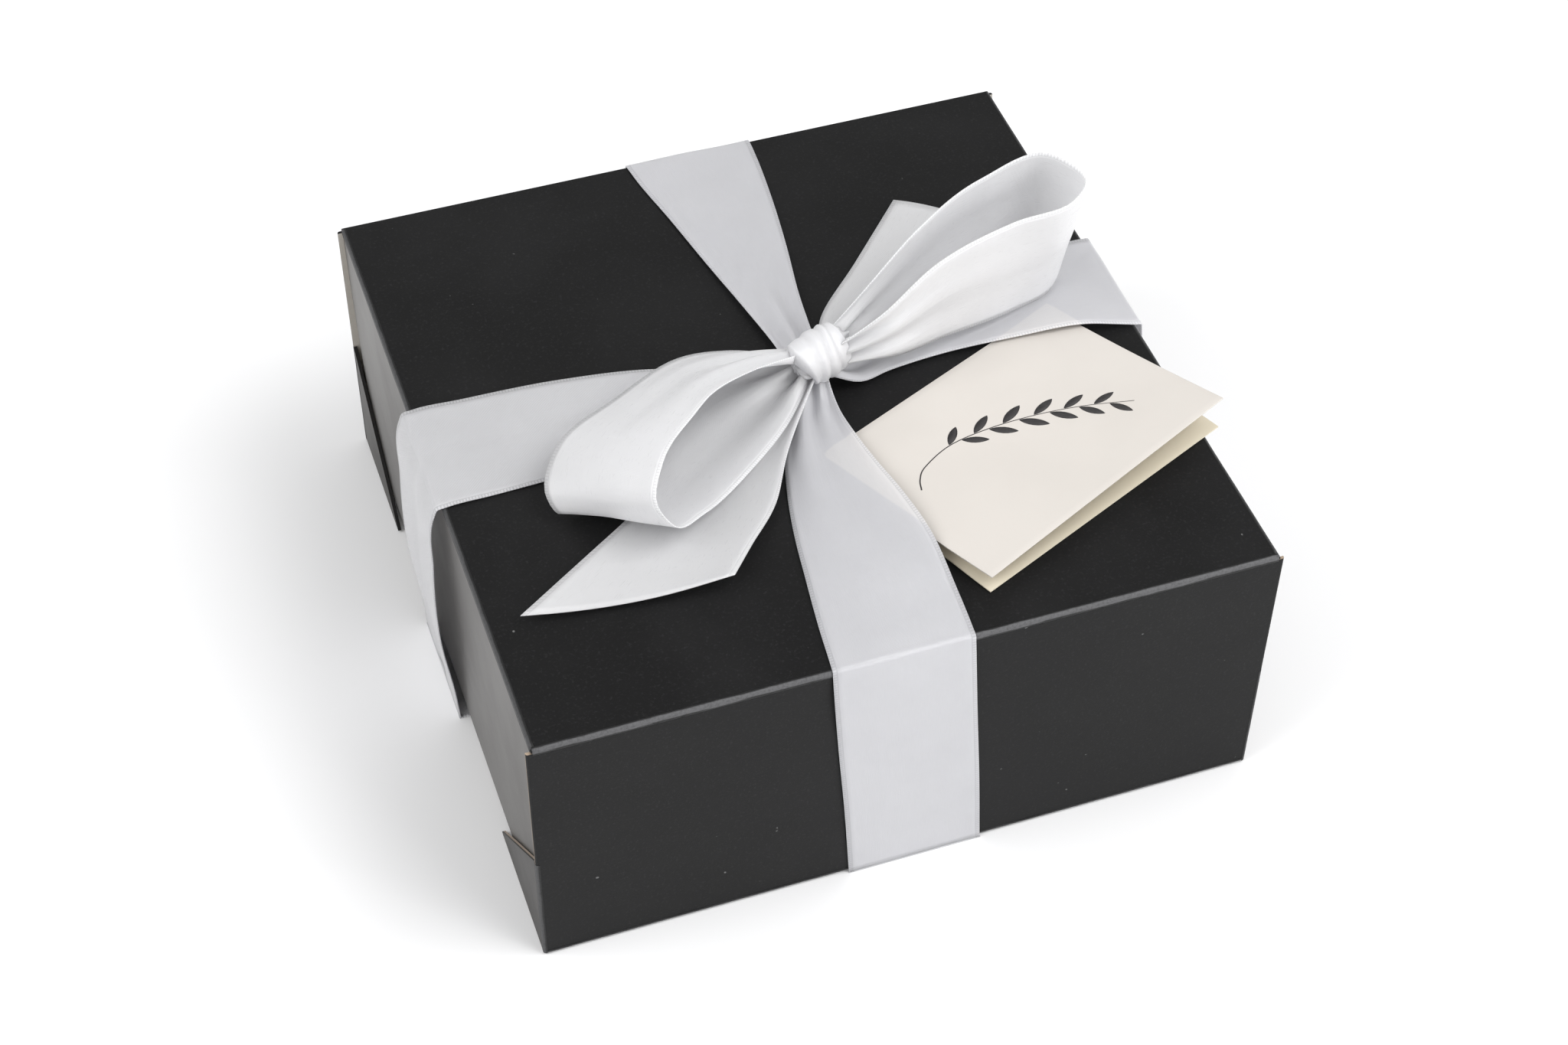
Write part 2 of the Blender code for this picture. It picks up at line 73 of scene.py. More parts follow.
mm = 0.001
lidLow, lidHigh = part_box("lid_panel")
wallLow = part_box("hinge_wall")[0]
tabLow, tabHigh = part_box("corner_tab_near_left")
lidZ = lidHigh.z  # top of the lid
nearY = wallLow.y  # outside of the hinge wall
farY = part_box("far_wall")[1].y
leftX = tabLow.x  # outside of the corner tabs
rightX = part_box("corner_tab_near_right")[1].x
footZ = wallLow.z  # bottom of the walls


# camera, floor and light

studio = {
    "cameraPlace": (-0.18672, -0.52638, 0.62457),
    "cameraRight": (0.94517, -0.32648, 0.00800),
    "cameraUp": (0.23285, 0.69088, 0.68445),
    "cameraBack": (-0.22899, -0.64506, 0.72901),
    "lens": 65.25,
    "sensor": 36,
    "nearClip": 0.01,
    "floorSize": 9.0,
    "floorColours": ((0.93, 0.93, 0.935), (0.915, 0.915, 0.92)),
    "floorCloud": (3, 3, 0.5),
    "floorRoughness": 0.8,
    "floorSpecular": 0.2,
    "skyStrength": 0.64,
    "lights": [  # name, place, width, height, watts
        ("keyLight", (0.88, -0.53, 1.52), 1.1, 1.1, 17),
        ("fillLight", (-1.2, -0.10, 1.1), 1.2, 0.9, 11),
        ("frontLight", (0.9, -1.5, 0.6), 0.8, 0.6, 10),
    ],
    "aim": (0, 0, 0.04),
}


def makeCamera():
    data = bpy.data.cameras.new("camera")
    data.lens = studio["lens"]
    data.sensor_width = studio["sensor"]
    data.clip_start = studio["nearClip"]
    camera = bpy.data.objects.new("camera", data)
    turn = Matrix((studio["cameraRight"], studio["cameraUp"], studio["cameraBack"])).transposed()
    camera.matrix_world = Matrix.Translation(studio["cameraPlace"]) @ turn.to_4x4()
    bpy.context.scene.collection.objects.link(camera)
    bpy.context.scene.camera = camera


def areaLight(name, place, aim, width, height, power):
    data = bpy.data.lights.new(name, "AREA")
    data.shape = "RECTANGLE"
    data.size, data.size_y = width, height
    data.energy = power
    light = bpy.data.objects.new(name, data)
    light.location = place
    light.rotation_euler = (Vector(aim) - Vector(place)).to_track_quat("-Z", "Y").to_euler()
    bpy.context.scene.collection.objects.link(light)


# node helpers

def newMaterial(name):
    made = bpy.data.materials.new(name)
    made.use_nodes = True
    return made, made.node_tree, made.node_tree.nodes["Principled BSDF"]


def sums(tree, operation, a, b=0.0, clamp=False):
    made = tree.nodes.new("ShaderNodeMath")
    made.operation = operation
    made.use_clamp = clamp
    for socket, value in zip(made.inputs, (a, b)):
        if isinstance(value, bpy.types.NodeSocket):
            tree.links.new(value, socket)
        else:
            socket.default_value = value
    return made.outputs[0]


def ramp(tree, value, low, high, toLow=0.0, toHigh=1.0):
    made = tree.nodes.new("ShaderNodeMapRange")
    made.interpolation_type = "SMOOTHSTEP"
    tree.links.new(value, made.inputs["Value"])
    for key, number in (("From Min", low), ("From Max", high), ("To Min", toLow), ("To Max", toHigh)):
        made.inputs[key].default_value = number
    return made.outputs["Result"]


def noiseAt(tree, vector, scale, detail=2.0, rough=0.5, stretch=None):
    if stretch:
        mapped = tree.nodes.new("ShaderNodeMapping")
        tree.links.new(vector, mapped.inputs["Vector"])
        mapped.inputs["Scale"].default_value = stretch
        vector = mapped.outputs["Vector"]
    made = tree.nodes.new("ShaderNodeTexNoise")
    tree.links.new(vector, made.inputs["Vector"])
    made.inputs["Scale"].default_value = scale
    made.inputs["Detail"].default_value = detail
    made.inputs["Roughness"].default_value = rough
    return made.outputs["Fac"]


def mixColour(tree, factor, first, second):
    made = tree.nodes.new("ShaderNodeMix")
    made.data_type = "RGBA"
    for socket, value in zip((made.inputs[0], made.inputs[6], made.inputs[7]), (factor, first, second)):
        if isinstance(value, bpy.types.NodeSocket):
            tree.links.new(value, socket)
        elif socket.type == "RGBA":
            socket.default_value = (*value, 1) if len(value) == 3 else value
        else:
            socket.default_value = value
    return made.outputs[2]


def bumpFrom(tree, height, strength, distance, before=None):
    made = tree.nodes.new("ShaderNodeBump")
    made.inputs["Strength"].default_value = strength
    made.inputs["Distance"].default_value = distance
    tree.links.new(height, made.inputs["Height"])
    if before is not None:
        tree.links.new(before, made.inputs["Normal"])
    return made.outputs["Normal"]


# finishes

boardLook = {
    "fibre": (2600, 3, 0.6),  # scale, detail and roughness of each pattern
    "grain": (1250, 2, 0.7),
    "speck": (420, 1, 0.5),
    "wave": (55, 2, 0.5),
    "cloud": (26, 3, 0.55),
    "cloudInk": (0.35, 0.75),  # where in a pattern its effect begins and is complete
    "cloudRough": (0.3, 0.7),
    "grainInk": (0.52, 0.80, 0.0, 0.7),  # and the least and the most of it
    "speckDust": (0.80, 0.84),
    "ink": (0.0060, 0.0060, 0.0062),
    "inkWorn": (0.0100, 0.0100, 0.0104),
    "inkGrain": (0.021, 0.021, 0.022),
    "dust": (0.13, 0.13, 0.13),
    "raw": (0.44, 0.35, 0.27),
    "rawDark": (0.30, 0.23, 0.17),
    "inside": (0.60, 0.57, 0.52),
    "insideDark": (0.50, 0.47, 0.42),
    "roughness": (0.46, 0.58),
    "sideRoughness": (0.35, 0.42),  # the side flaps are the smoother way of the board
    "specular": 0.16,
    "bump": 0.25,
    "sideBump": 0.06,
    "sideSpecular": 0.55,
    "sideSheen": 0.19,
    "sideTint": (1.0, 0.95, 0.90, 1),
    "sheenRoughness": 0.30,
    "waveBump": 0.10,
    "waveDepth": 0.0012,
    "grainDepth": 0.00006,
    "cutFacing": 0.18,  # faces turned further from the printed side are cut edges
    "creasedFacing": -0.5,  # the lid's edges are creased, so they are printed too
    "insideFacing": (-0.3, -0.2),  # and beyond these are the inside of the board
    "facingSoft": 0.05,
    "inkWrap": 0.00045,  # how far the ink rounds the cut edge
    "wrapSoft": 0.0001,
    "wraps": {"hinge_wall": 0.0001, "lid_left_flap": 0.0002, "lid_right_flap": 0.0002},
    "farWrap": 0.002,  # on the far side the cut edges are all ink
    "tabGloss": 0.45,  # the corner tabs lie between the two finishes
}


def between(key, sideKey, gloss):
    # from the plain finish at gloss 0 to that of the side flaps at gloss 1
    plain, smooth = boardLook[key], boardLook[sideKey]
    if isinstance(plain, tuple):
        return tuple(a + (b - a) * gloss for a, b in zip(plain, smooth))
    return plain + (smooth - plain) * gloss


def boardMaterial(name, printed, outer, gloss, creased, inkWrap):
    # printed is the direction its printed face looks in, outer how far out that face lies
    made, tree, shader = newMaterial(name)
    where = tree.nodes.new("ShaderNodeTexCoord")
    facing = tree.nodes.new("ShaderNodeVectorMath")
    depth = tree.nodes.new("ShaderNodeVectorMath")
    for dot, source in ((facing, "Normal"), (depth, "Object")):
        dot.operation = "DOT_PRODUCT"
        tree.links.new(where.outputs[source], dot.inputs[0])
        dot.inputs[1].default_value = printed
    look = facing.outputs["Value"]
    sunk = sums(tree, "SUBTRACT", outer, depth.outputs["Value"])
    place = where.outputs["Object"]
    fibre, grain, cloud, speck = [noiseAt(tree, place, *boardLook[key])
                                  for key in ("fibre", "grain", "cloud", "speck")]
    ink = boardLook["ink"]
    for pattern, span, over in (
        (cloud, "cloudInk", "inkWorn"), (grain, "grainInk", "inkGrain"), (speck, "speckDust", "dust"),
    ):
        ink = mixColour(tree, ramp(tree, pattern, *boardLook[span]), ink, boardLook[over])
    inside = mixColour(tree, fibre, boardLook["inside"], boardLook["insideDark"])
    raw = mixColour(tree, fibre, boardLook["raw"], boardLook["rawDark"])
    wrapSoft, facingSoft = boardLook["wrapSoft"], boardLook["facingSoft"]
    raw = mixColour(tree, ramp(tree, sunk, inkWrap - wrapSoft, inkWrap + wrapSoft), ink, raw)
    edge = boardLook["creasedFacing" if creased else "cutFacing"]
    colour = mixColour(tree, ramp(tree, look, *boardLook["insideFacing"]), inside, raw)
    colour = mixColour(tree, ramp(tree, look, edge - facingSoft, edge + facingSoft), colour, ink)
    tree.links.new(colour, shader.inputs["Base Color"])
    rough = ramp(tree, cloud, *boardLook["cloudRough"], *between("roughness", "sideRoughness", gloss))
    tree.links.new(rough, shader.inputs["Roughness"])
    shader.inputs["Specular IOR Level"].default_value = between("specular", "sideSpecular", gloss)
    shader.inputs["Sheen Weight"].default_value = boardLook["sideSheen"] * gloss
    shader.inputs["Sheen Roughness"].default_value = boardLook["sheenRoughness"]
    shader.inputs["Sheen Tint"].default_value = boardLook["sideTint"]
    if gloss:
        shader.inputs["Specular Tint"].default_value = boardLook["sideTint"]
    wave = noiseAt(tree, place, *boardLook["wave"])
    normal = bumpFrom(tree, wave, boardLook["waveBump"], boardLook["waveDepth"])
    height = sums(tree, "ADD", fibre, grain)
    normal = bumpFrom(tree, height, between("bump", "sideBump", gloss), boardLook["grainDepth"], normal)
    tree.links.new(normal, shader.inputs["Normal"])
    return made


creaseLook = {
    "crest": (0.100, 0.100, 0.104),
    "nick": (0.62, 0.60, 0.57),
    "worn": 1.0,  # the hinge, which is bent each time the box opens
    "fresh": 0.55,
    "patch": (120, 4, 0.65),  # scale, detail and roughness of each pattern
    "fine": (1500, 3, 0.7),
    "chip": (210, 2, 0.5),
    "crestReach": (0.20, 0.40),
    "crestFine": (0.25, 0.6, 0.6, 1.0),
    "chipReach": (0.05, 0.2),
    "chipShare": (0.735, 0.765),
    "wander": -0.30,
    "roughness": 0.55,
    "specular": 0.35,
    "patchHeight": 2.0,  # beside the fine pattern
    "bump": 0.35,
    "bumpDepth": 0.0002,
    "lidRadius": 0.00085,
    "wallRadius": 0.0007,
    "wide": 0.0008,  # the width of the flat strip beside the bend, on its wider side
    "tabWide": 0.0009,
    "footWide": 0.0006,
    "narrow": 0.0003,
    "proud": 0.00005,
    "uneven": 0.00005,
    "waver": (90, 1.5, 3.1),  # how quickly that varies along and across, then the noise's offset
    "thickness": 0.00025,
    "blendHalf": 0.0012,  # how far to each side of the hinge the bending reaches
    "ends": {  # how far short of the corners each crease stops
        "hinge": 0.0004, "lidNear": 0.0008, "lidFar": 0.0006,
        "tabFoot": 0.0002, "tabTop": 0.0004, "foot": 0.0008,
    },
    "columns": 14,
    "rows": 96,
}


def creaseMaterial(name, wear):
    # a folded edge: the ink has cracked along its crest
    made, tree, shader = newMaterial(name)
    flat = tree.nodes.new("ShaderNodeUVMap")
    flat.uv_map = "weave"
    split = tree.nodes.new("ShaderNodeSeparateXYZ")
    tree.links.new(flat.outputs["UV"], split.inputs[0])
    place = tree.nodes.new("ShaderNodeTexCoord").outputs["Object"]
    across = sums(tree, "ABSOLUTE", sums(tree, "SUBTRACT", split.outputs["X"], 0.5))
    patch = noiseAt(tree, place, *creaseLook["patch"])
    fine = noiseAt(tree, place, *creaseLook["fine"])
    wander = sums(tree, "MULTIPLY", sums(tree, "SUBTRACT", patch, 0.5), creaseLook["wander"])
    crest = ramp(tree, sums(tree, "ADD", across, wander), *creaseLook["crestReach"], 1.0, 0.0)
    crest = sums(tree, "MULTIPLY", crest, ramp(tree, fine, *creaseLook["crestFine"]))
    colour = mixColour(tree, sums(tree, "MULTIPLY", crest, wear), boardLook["ink"], creaseLook["crest"])
    chip = noiseAt(tree, place, *creaseLook["chip"])
    onCrest = ramp(tree, across, *creaseLook["chipReach"], 1.0, 0.0)
    chips = sums(tree, "MULTIPLY", ramp(tree, chip, *creaseLook["chipShare"]), onCrest)
    colour = mixColour(tree, chips, colour, creaseLook["nick"])
    tree.links.new(colour, shader.inputs["Base Color"])
    shader.inputs["Roughness"].default_value = creaseLook["roughness"]
    shader.inputs["Specular IOR Level"].default_value = creaseLook["specular"]
    height = sums(tree, "ADD", fine, sums(tree, "MULTIPLY", patch, creaseLook["patchHeight"]))
    normal = bumpFrom(tree, height, creaseLook["bump"], creaseLook["bumpDepth"])
    tree.links.new(normal, shader.inputs["Normal"])
    return made


satinLook = {
    "finishes": {  # roughness, specular, how much of the weave shows
        "satinFace": (0.30, 0.85, 0.25),
        "satinRun": (0.34, 0.7, 0.25),
        "satinBack": (0.46, 0.5, 1.0),
    },
    "face": (0.70, 0.70, 0.715),
    "run": (0.575, 0.575, 0.605),  # painted shade: darker and cooler than the face, since it lies on the black board and less light comes through
    # painted shade, as for the run: darker than the face where it lies on the black board
    "back": (0.57, 0.57, 0.59),
    "warp": (1.0, 2, 0.6, (3600, 240, 1)),  # scale, detail, roughness and stretch
    "soft": (60, 3, 0.5),
    "wave": (1.0, 2, 0.5, (120, 22, 1)),
    "softSpan": (0.3, 0.75),
    "softShade": 0.96,
    "warpShade": 0.35,
    "threadShade": 0.25,
    "shade": 0.86,  # the darker threads
    "seam": 0.66,  # the woven edge and its groove
    "glow": (0.78, 0.755, 0.73),  # painted light: lighter and creamier where light comes back through the cloth from the cream card
    "glowSpan": (0.0002, 0.0010, 0.0, 0.45),  # metres in from the card's edge, then how much
    "thread": 0.00028,
    "twill": 0.00045,
    "selvage": 0.0011,
    "selvageSoft": 0.8,
    "groove": (0.00005, 0.00022),
    "dot": 0.00085,
    "dotSpan": (-0.5, 0.7),
    "rim": (0.40, 0.4),  # how plain the woven edge is, and what the duller side adds
    "rimHeight": 3,
    "roughSpan": (0.2, 0.8),
    "roughLess": 0.04,
    "roughMore": 0.06,
    "width": 0.038,
    "sheen": 0.15,
    "sheenRoughness": 0.4,
    "through": 0.85,  # share of the light that comes through the cloth
    "throughDepth": 0.0015,
    "waveBump": 0.16,
    "waveDepth": 0.0016,
    "weaveBump": 0.35,
    "weaveDepth": 0.00008,
}


def satinMaterial(name, colour):
    # reads the sheet's own map, which is in metres: across the ribbon, then along it
    made, tree, shader = newMaterial(name)
    roughness, specular, weave = satinLook["finishes"][name]
    flat = tree.nodes.new("ShaderNodeUVMap")
    flat.uv_map = "weave"
    split = tree.nodes.new("ShaderNodeSeparateXYZ")
    tree.links.new(flat.outputs["UV"], split.inputs[0])
    u, v = split.outputs["X"], split.outputs["Y"]
    turn = 2 * math.pi
    warp = noiseAt(tree, flat.outputs["UV"], *satinLook["warp"])
    weft = sums(tree, "SINE", sums(tree, "MULTIPLY", v, turn / satinLook["thread"]))
    slant = sums(tree, "ADD", u, v)
    twill = sums(tree, "SINE", sums(tree, "MULTIPLY", slant, turn / satinLook["twill"]))
    threads = sums(tree, "ADD", weft, twill)
    soft = noiseAt(tree, flat.outputs["UV"], *satinLook["soft"])
    wave = noiseAt(tree, flat.outputs["UV"], *satinLook["wave"])
    half = satinLook["width"] / 2
    fromEdge = sums(tree, "SUBTRACT", half, sums(tree, "ABSOLUTE", sums(tree, "SUBTRACT", u, half)))
    inner = satinLook["selvage"]
    selvage = ramp(tree, fromEdge, inner * satinLook["selvageSoft"], inner, 1.0, 0.0)
    fromGroove = sums(tree, "ABSOLUTE", sums(tree, "SUBTRACT", fromEdge, inner))
    groove = ramp(tree, fromGroove, *satinLook["groove"], 1.0, 0.0)
    stitch = sums(tree, "SINE", sums(tree, "MULTIPLY", v, turn / satinLook["dot"]))
    dots = sums(tree, "MULTIPLY", selvage, ramp(tree, stitch, *satinLook["dotSpan"]))
    shade = tuple(c * satinLook["shade"] for c in colour)
    seam = tuple(c * satinLook["seam"] for c in colour)
    rim = satinLook["rim"][0] + satinLook["rim"][1] * weave
    softer = tuple(c * satinLook["softShade"] for c in colour)
    tint = mixColour(tree, ramp(tree, soft, *satinLook["softSpan"]), colour, softer)
    # painted light: the ribbon's colour is lit up where it lies over the cream card
    overCard = tree.nodes.new("ShaderNodeAttribute")
    overCard.attribute_name = "overCard"
    lit = ramp(tree, overCard.outputs["Fac"], *satinLook["glowSpan"])
    tint = mixColour(tree, lit, tint, satinLook["glow"])
    tint = mixColour(tree, sums(tree, "MULTIPLY", warp, satinLook["warpShade"]), tint, shade)
    plain = sums(tree, "MULTIPLY", threads, satinLook["threadShade"] * weave)
    tint = mixColour(tree, plain, tint, shade)
    tint = mixColour(tree, sums(tree, "MULTIPLY", dots, rim), tint, seam)
    tint = mixColour(tree, sums(tree, "MULTIPLY", groove, rim), tint, seam)
    tree.links.new(tint, shader.inputs["Base Color"])
    rough = ramp(tree, warp, *satinLook["roughSpan"],
                 roughness - satinLook["roughLess"], roughness + satinLook["roughMore"])
    tree.links.new(rough, shader.inputs["Roughness"])
    shader.inputs["Sheen Weight"].default_value = satinLook["sheen"]
    shader.inputs["Sheen Roughness"].default_value = satinLook["sheenRoughness"]
    shader.inputs["Specular IOR Level"].default_value = specular
    shader.inputs["Subsurface Weight"].default_value = satinLook["through"]
    shader.inputs["Subsurface Radius"].default_value = (1.0, 1.0, 1.0)
    shader.inputs["Subsurface Scale"].default_value = satinLook["throughDepth"]
    normal = bumpFrom(tree, wave, satinLook["waveBump"], satinLook["waveDepth"])
    height = sums(tree, "ADD", warp, sums(tree, "MULTIPLY", threads, weave))
    rise = satinLook["rimHeight"] * rim
    height = sums(tree, "SUBTRACT", height, sums(tree, "MULTIPLY", groove, rise))
    height = sums(tree, "ADD", height, sums(tree, "MULTIPLY", dots, rise))
    normal = bumpFrom(tree, height, satinLook["weaveBump"], satinLook["weaveDepth"], normal)
    tree.links.new(normal, shader.inputs["Normal"])
    return made


paperLook = {
    "front": (0.635, 0.600, 0.560),
    # painted shade and bounce light: the same paper as the front, tinted warmer and yellower as light
    # bounces between the two leaves
    "inside": (0.66, 0.60, 0.475),
    "tooth": (2400, 4, 0.65),  # scale, detail, roughness and stretch
    "laid": (1.0, 2, 0.5, (500, 500, 60)),
    "cloud": (45, 3, 0.5),
    "cloudSpan": (0.3, 0.7),
    "cloudShade": 0.97,
    "toothMix": 0.12,
    "toothShade": 0.86,
    "toothRough": (0.3, 0.7, 0.72, 0.86),
    "laidHeight": 0.6,
    "specular": 0.3,
    "bump": 0.30,
    "bumpDepth": 0.00006,
    "ink": (0.012, 0.011, 0.012),
    "inkThin": (0.04, 0.036, 0.036),
    "inkGrain": (1800, 3, 0.6),
    "inkRoughness": 0.6,
    "inkBump": 0.2,
    "inkDepth": 0.00003,
}


def paperMaterial(name, colour):
    made, tree, shader = newMaterial(name)
    place = tree.nodes.new("ShaderNodeTexCoord").outputs["Object"]
    tooth, laid, cloud = [noiseAt(tree, place, *paperLook[key]) for key in ("tooth", "laid", "cloud")]
    clouded = tuple(c * paperLook["cloudShade"] for c in colour)
    toothed = tuple(c * paperLook["toothShade"] for c in colour)
    tint = mixColour(tree, ramp(tree, cloud, *paperLook["cloudSpan"]), colour, clouded)
    tint = mixColour(tree, sums(tree, "MULTIPLY", tooth, paperLook["toothMix"]), tint, toothed)
    tree.links.new(tint, shader.inputs["Base Color"])
    tree.links.new(ramp(tree, tooth, *paperLook["toothRough"]), shader.inputs["Roughness"])
    shader.inputs["Specular IOR Level"].default_value = paperLook["specular"]
    height = sums(tree, "ADD", tooth, sums(tree, "MULTIPLY", laid, paperLook["laidHeight"]))
    normal = bumpFrom(tree, height, paperLook["bump"], paperLook["bumpDepth"])
    tree.links.new(normal, shader.inputs["Normal"])
    return made


def inkMaterial(name):
    made, tree, shader = newMaterial(name)
    place = tree.nodes.new("ShaderNodeTexCoord").outputs["Object"]
    grain = noiseAt(tree, place, *paperLook["inkGrain"])
    tint = mixColour(tree, grain, paperLook["ink"], paperLook["inkThin"])
    tree.links.new(tint, shader.inputs["Base Color"])
    shader.inputs["Roughness"].default_value = paperLook["inkRoughness"]
    normal = bumpFrom(tree, grain, paperLook["inkBump"], paperLook["inkDepth"])
    tree.links.new(normal, shader.inputs["Normal"])
    return made


def floorMaterial():
    made, tree, shader = newMaterial("paleFloor")
    place = tree.nodes.new("ShaderNodeTexCoord").outputs["Object"]
    cloud = noiseAt(tree, place, *studio["floorCloud"])
    tree.links.new(mixColour(tree, cloud, *studio["floorColours"]), shader.inputs["Base Color"])
    shader.inputs["Roughness"].default_value = studio["floorRoughness"]
    shader.inputs["Specular IOR Level"].default_value = studio["floorSpecular"]
    return made


def makeStudio():
    scene = bpy.context.scene
    scene.view_settings.view_transform = "Standard"
    makeCamera()
    bm = bmesh.new()
    bmesh.ops.create_grid(bm, x_segments=1, y_segments=1, size=studio["floorSize"] / 2)
    mesh = bpy.data.meshes.new("floor")
    bm.to_mesh(mesh)
    bm.free()
    floor = bpy.data.objects.new("floor", mesh)
    mesh.materials.append(floorMaterial())
    scene.collection.objects.link(floor)
    world = bpy.data.worlds.new("softSky")
    scene.world = world
    world.use_nodes = True
    sky = world.node_tree.nodes["Background"]
    sky.inputs["Color"].default_value = (1.0, 1.0, 1.0, 1)
    sky.inputs["Strength"].default_value = studio["skyStrength"]
    for name, place, width, height, watts in studio["lights"]:
        areaLight(name, place, studio["aim"], width, height, watts)
    print("studio ready")


card = {
    "corner": Vector((-0.0015, -0.0315, 0)),
    "along": Vector((0.913, 0.407, 0)).normalized(),
    "length": 0.088,
    "width": 0.0635,
    "paper": 0.0004,
    "riseNear": 0.0048,
    "riseFar": 0.0100,
    "curl": 0.0006,
    "edge": 0.00008,  # the leaf's edge is barely rounded
    "columns": 44,
    "rows": 32,
    "foldColumns": 10,
    "foldRows": 30,
}
card["out"] = Vector((card["along"].y, -card["along"].x, 0))


def insideCard(spot):
    # how far the spot is inside the card's outline, seen from above
    flat = Vector((spot.x, spot.y, 0)) - card["corner"]
    along, out = flat.dot(card["along"]), flat.dot(card["out"])
    return min(along, card["length"] - along, out, card["width"] - out)


# sheets of ribbon

def railAt(points, marks, d):
    # a smooth curve through uneven points; marks are the distances at which it passes them
    i = 0
    while i < len(marks) - 2 and d > marks[i + 1]:
        i += 1
    span = marks[i + 1] - marks[i]

    def slope(k):
        if k == 0:
            return (points[1] - points[0]) / (marks[1] - marks[0])
        if k == len(points) - 1:
            return (points[-1] - points[-2]) / (marks[-1] - marks[-2])
        before, after = marks[k] - marks[k - 1], marks[k + 1] - marks[k]
        into, out = (points[k] - points[k - 1]) / before, (points[k + 1] - points[k]) / after
        return (into * after + out * before) / (before + after)

    f = (d - marks[i]) / span
    f2, f3 = f * f, f * f * f
    return (points[i] * (2 * f3 - 3 * f2 + 1) + slope(i) * span * (f3 - 2 * f2 + f)
            + points[i + 1] * (3 * f2 - 2 * f3) + slope(i + 1) * span * (f3 - f2))


def sheetMesh(rims, step, columns, fold):
    # rims are pairs of points, one pair for each place along the sheet
    # fold says how far the cloth is lifted off the surface ruled between them
    first = [Vector(a) for a, b in rims]
    second = [Vector(b) for a, b in rims]
    marks = [0.0]
    for i in range(1, len(rims)):
        gap = (first[i] - first[i - 1]).length / 2 + (second[i] - second[i - 1]).length / 2
        marks.append(marks[-1] + gap)
    rows = [0.0]
    for low, high in zip(marks, marks[1:]):
        count = max(ribbon["fewestRows"], math.ceil((high - low) / step))
        rows += [low + (high - low) * (k + 1) / count for k in range(count)]
    bm = bmesh.new()
    uv = bm.loops.layers.uv.new("weave")
    over = bm.verts.layers.float.new("overCard")
    bmesh.ops.create_grid(bm, x_segments=columns, y_segments=len(rows) - 1, size=0.5)
    spots = {}
    for vert in bm.verts:
        s = vert.co.x + 0.5
        d = rows[round((vert.co.y + 0.5) * (len(rows) - 1))]
        spots[vert] = (s, d)
        a, b = railAt(first, marks, d), railAt(second, marks, d)
        ahead, behind = min(d + ribbon["probe"], marks[-1]), max(d - ribbon["probe"], 0)
        along = (railAt(first, marks, ahead) + railAt(second, marks, ahead)
                 - railAt(first, marks, behind) - railAt(second, marks, behind))
        up = (b - a).cross(along).normalized()
        vert.co = a.lerp(b, s) + up * fold(s, d, marks[-1])
        vert[over] = insideCard(vert.co)
    for face in bm.faces:
        for loop in face.loops:
            s, d = spots[loop.vert]
            loop[uv].uv = (s * ribbon["width"], d)
    return bm, marks[-1]


def finishPiece(name, bm, material, body):
    mesh = bpy.data.meshes.new(name)
    bm.to_mesh(mesh)
    bm.free()
    mesh.shade_smooth()
    mesh.materials.append(material)
    piece = bpy.data.objects.new(name, mesh)
    bpy.context.scene.collection.objects.link(piece)
    if body:
        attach(piece, body)
    return piece


def thicken(piece, thickness):
    wall = piece.modifiers.new("thickness", "SOLIDIFY")
    wall.thickness = thickness
    wall.offset = 0.0
    wall.use_rim = True


def makeRibbon(name, rims, body, material, replaced, fold,
               step=0.0024, columns=16):
    bm, length = sheetMesh(rims, step, columns, fold)
    piece = finishPiece(name, bm, material, body)
    thicken(piece, ribbon["thickness"])
    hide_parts(*replaced)


def onLid(pairs):
    # millimetres from the middle of the lid's top face
    return [tuple(Vector(p) * mm + Vector((0, 0, lidZ)) for p in pair) for pair in pairs]


def fromKnot(pairs, start):
    return [tuple(Vector(p) * mm + start for p in pair) for pair in pairs]


ribbon = {
    "width": satinLook["width"],
    "thickness": 0.0003,
    "fewestRows": 4,  # between two pairs of points
    "probe": 0.0008,  # how far to either side the cloth's direction is measured
    "wallEnd": 0.0004,  # height at which the lengths down the walls end
    "knot": Vector((0.008, -0.005, lidZ + 0.0128)),
    "left": Vector((-0.0005, -0.005, lidZ + 0.0003)),  # where the left loop and tail are measured from
    "right": Vector((0.0165, -0.005, lidZ + 0.0003)),
    "back": Vector((0.008, 0.00175, lidZ + 0.0003)),
}


folds = {  # height, reach from the knot, waves across the ribbon, phase
    "nearGather": (0.0019, 0.018, 2.3, 0.15),
    "nearLong": (0.0010, 0.05, 1.25, 0.3),
    "farGather": (0.0024, 0.026, 1.7, -0.1),
    "farLong": (0.0009, 0.05, 1.0, 0.1),
    "leftGather": (0.0014, 0.018, 1.6, 0.0),
    "leftCrease": (0.0005, 0.47, 0.09),  # height, place across the ribbon, breadth
    "rightGather": (0.0015, 0.018, 1.8, 0.4),
    "rightLong": (0.0004, 0.07, 1.0, 0.0),
    "loopGather": (0.0024, 0.020, 2.4, 0.2),
    "loopLong": (0.0012, 0.045, 0.9, 0.1),
    "loopCrown": 0.0007,
    "tailGather": (0.0019, 0.024, 1.8, 0.0),
    "tailCrown": (0.0032, -0.0006),  # gained towards the cut end, and all along
    "longStart": 0.02,  # the long folds grow over this distance
    "creaseStart": 0.03,
}


def ripple(key, s, *distances):
    # s runs across the ribbon, the distances are those to its gathered ends
    height, reach, waves, phase = folds[key]
    near = sum(math.exp(-d / reach) for d in distances)
    return height * near * math.sin(2 * math.pi * (waves * s + phase))


def nearFold(s, d, length):
    return ripple("nearGather", s, d) + ripple("nearLong", s, d) * min(d / folds["longStart"], 1)


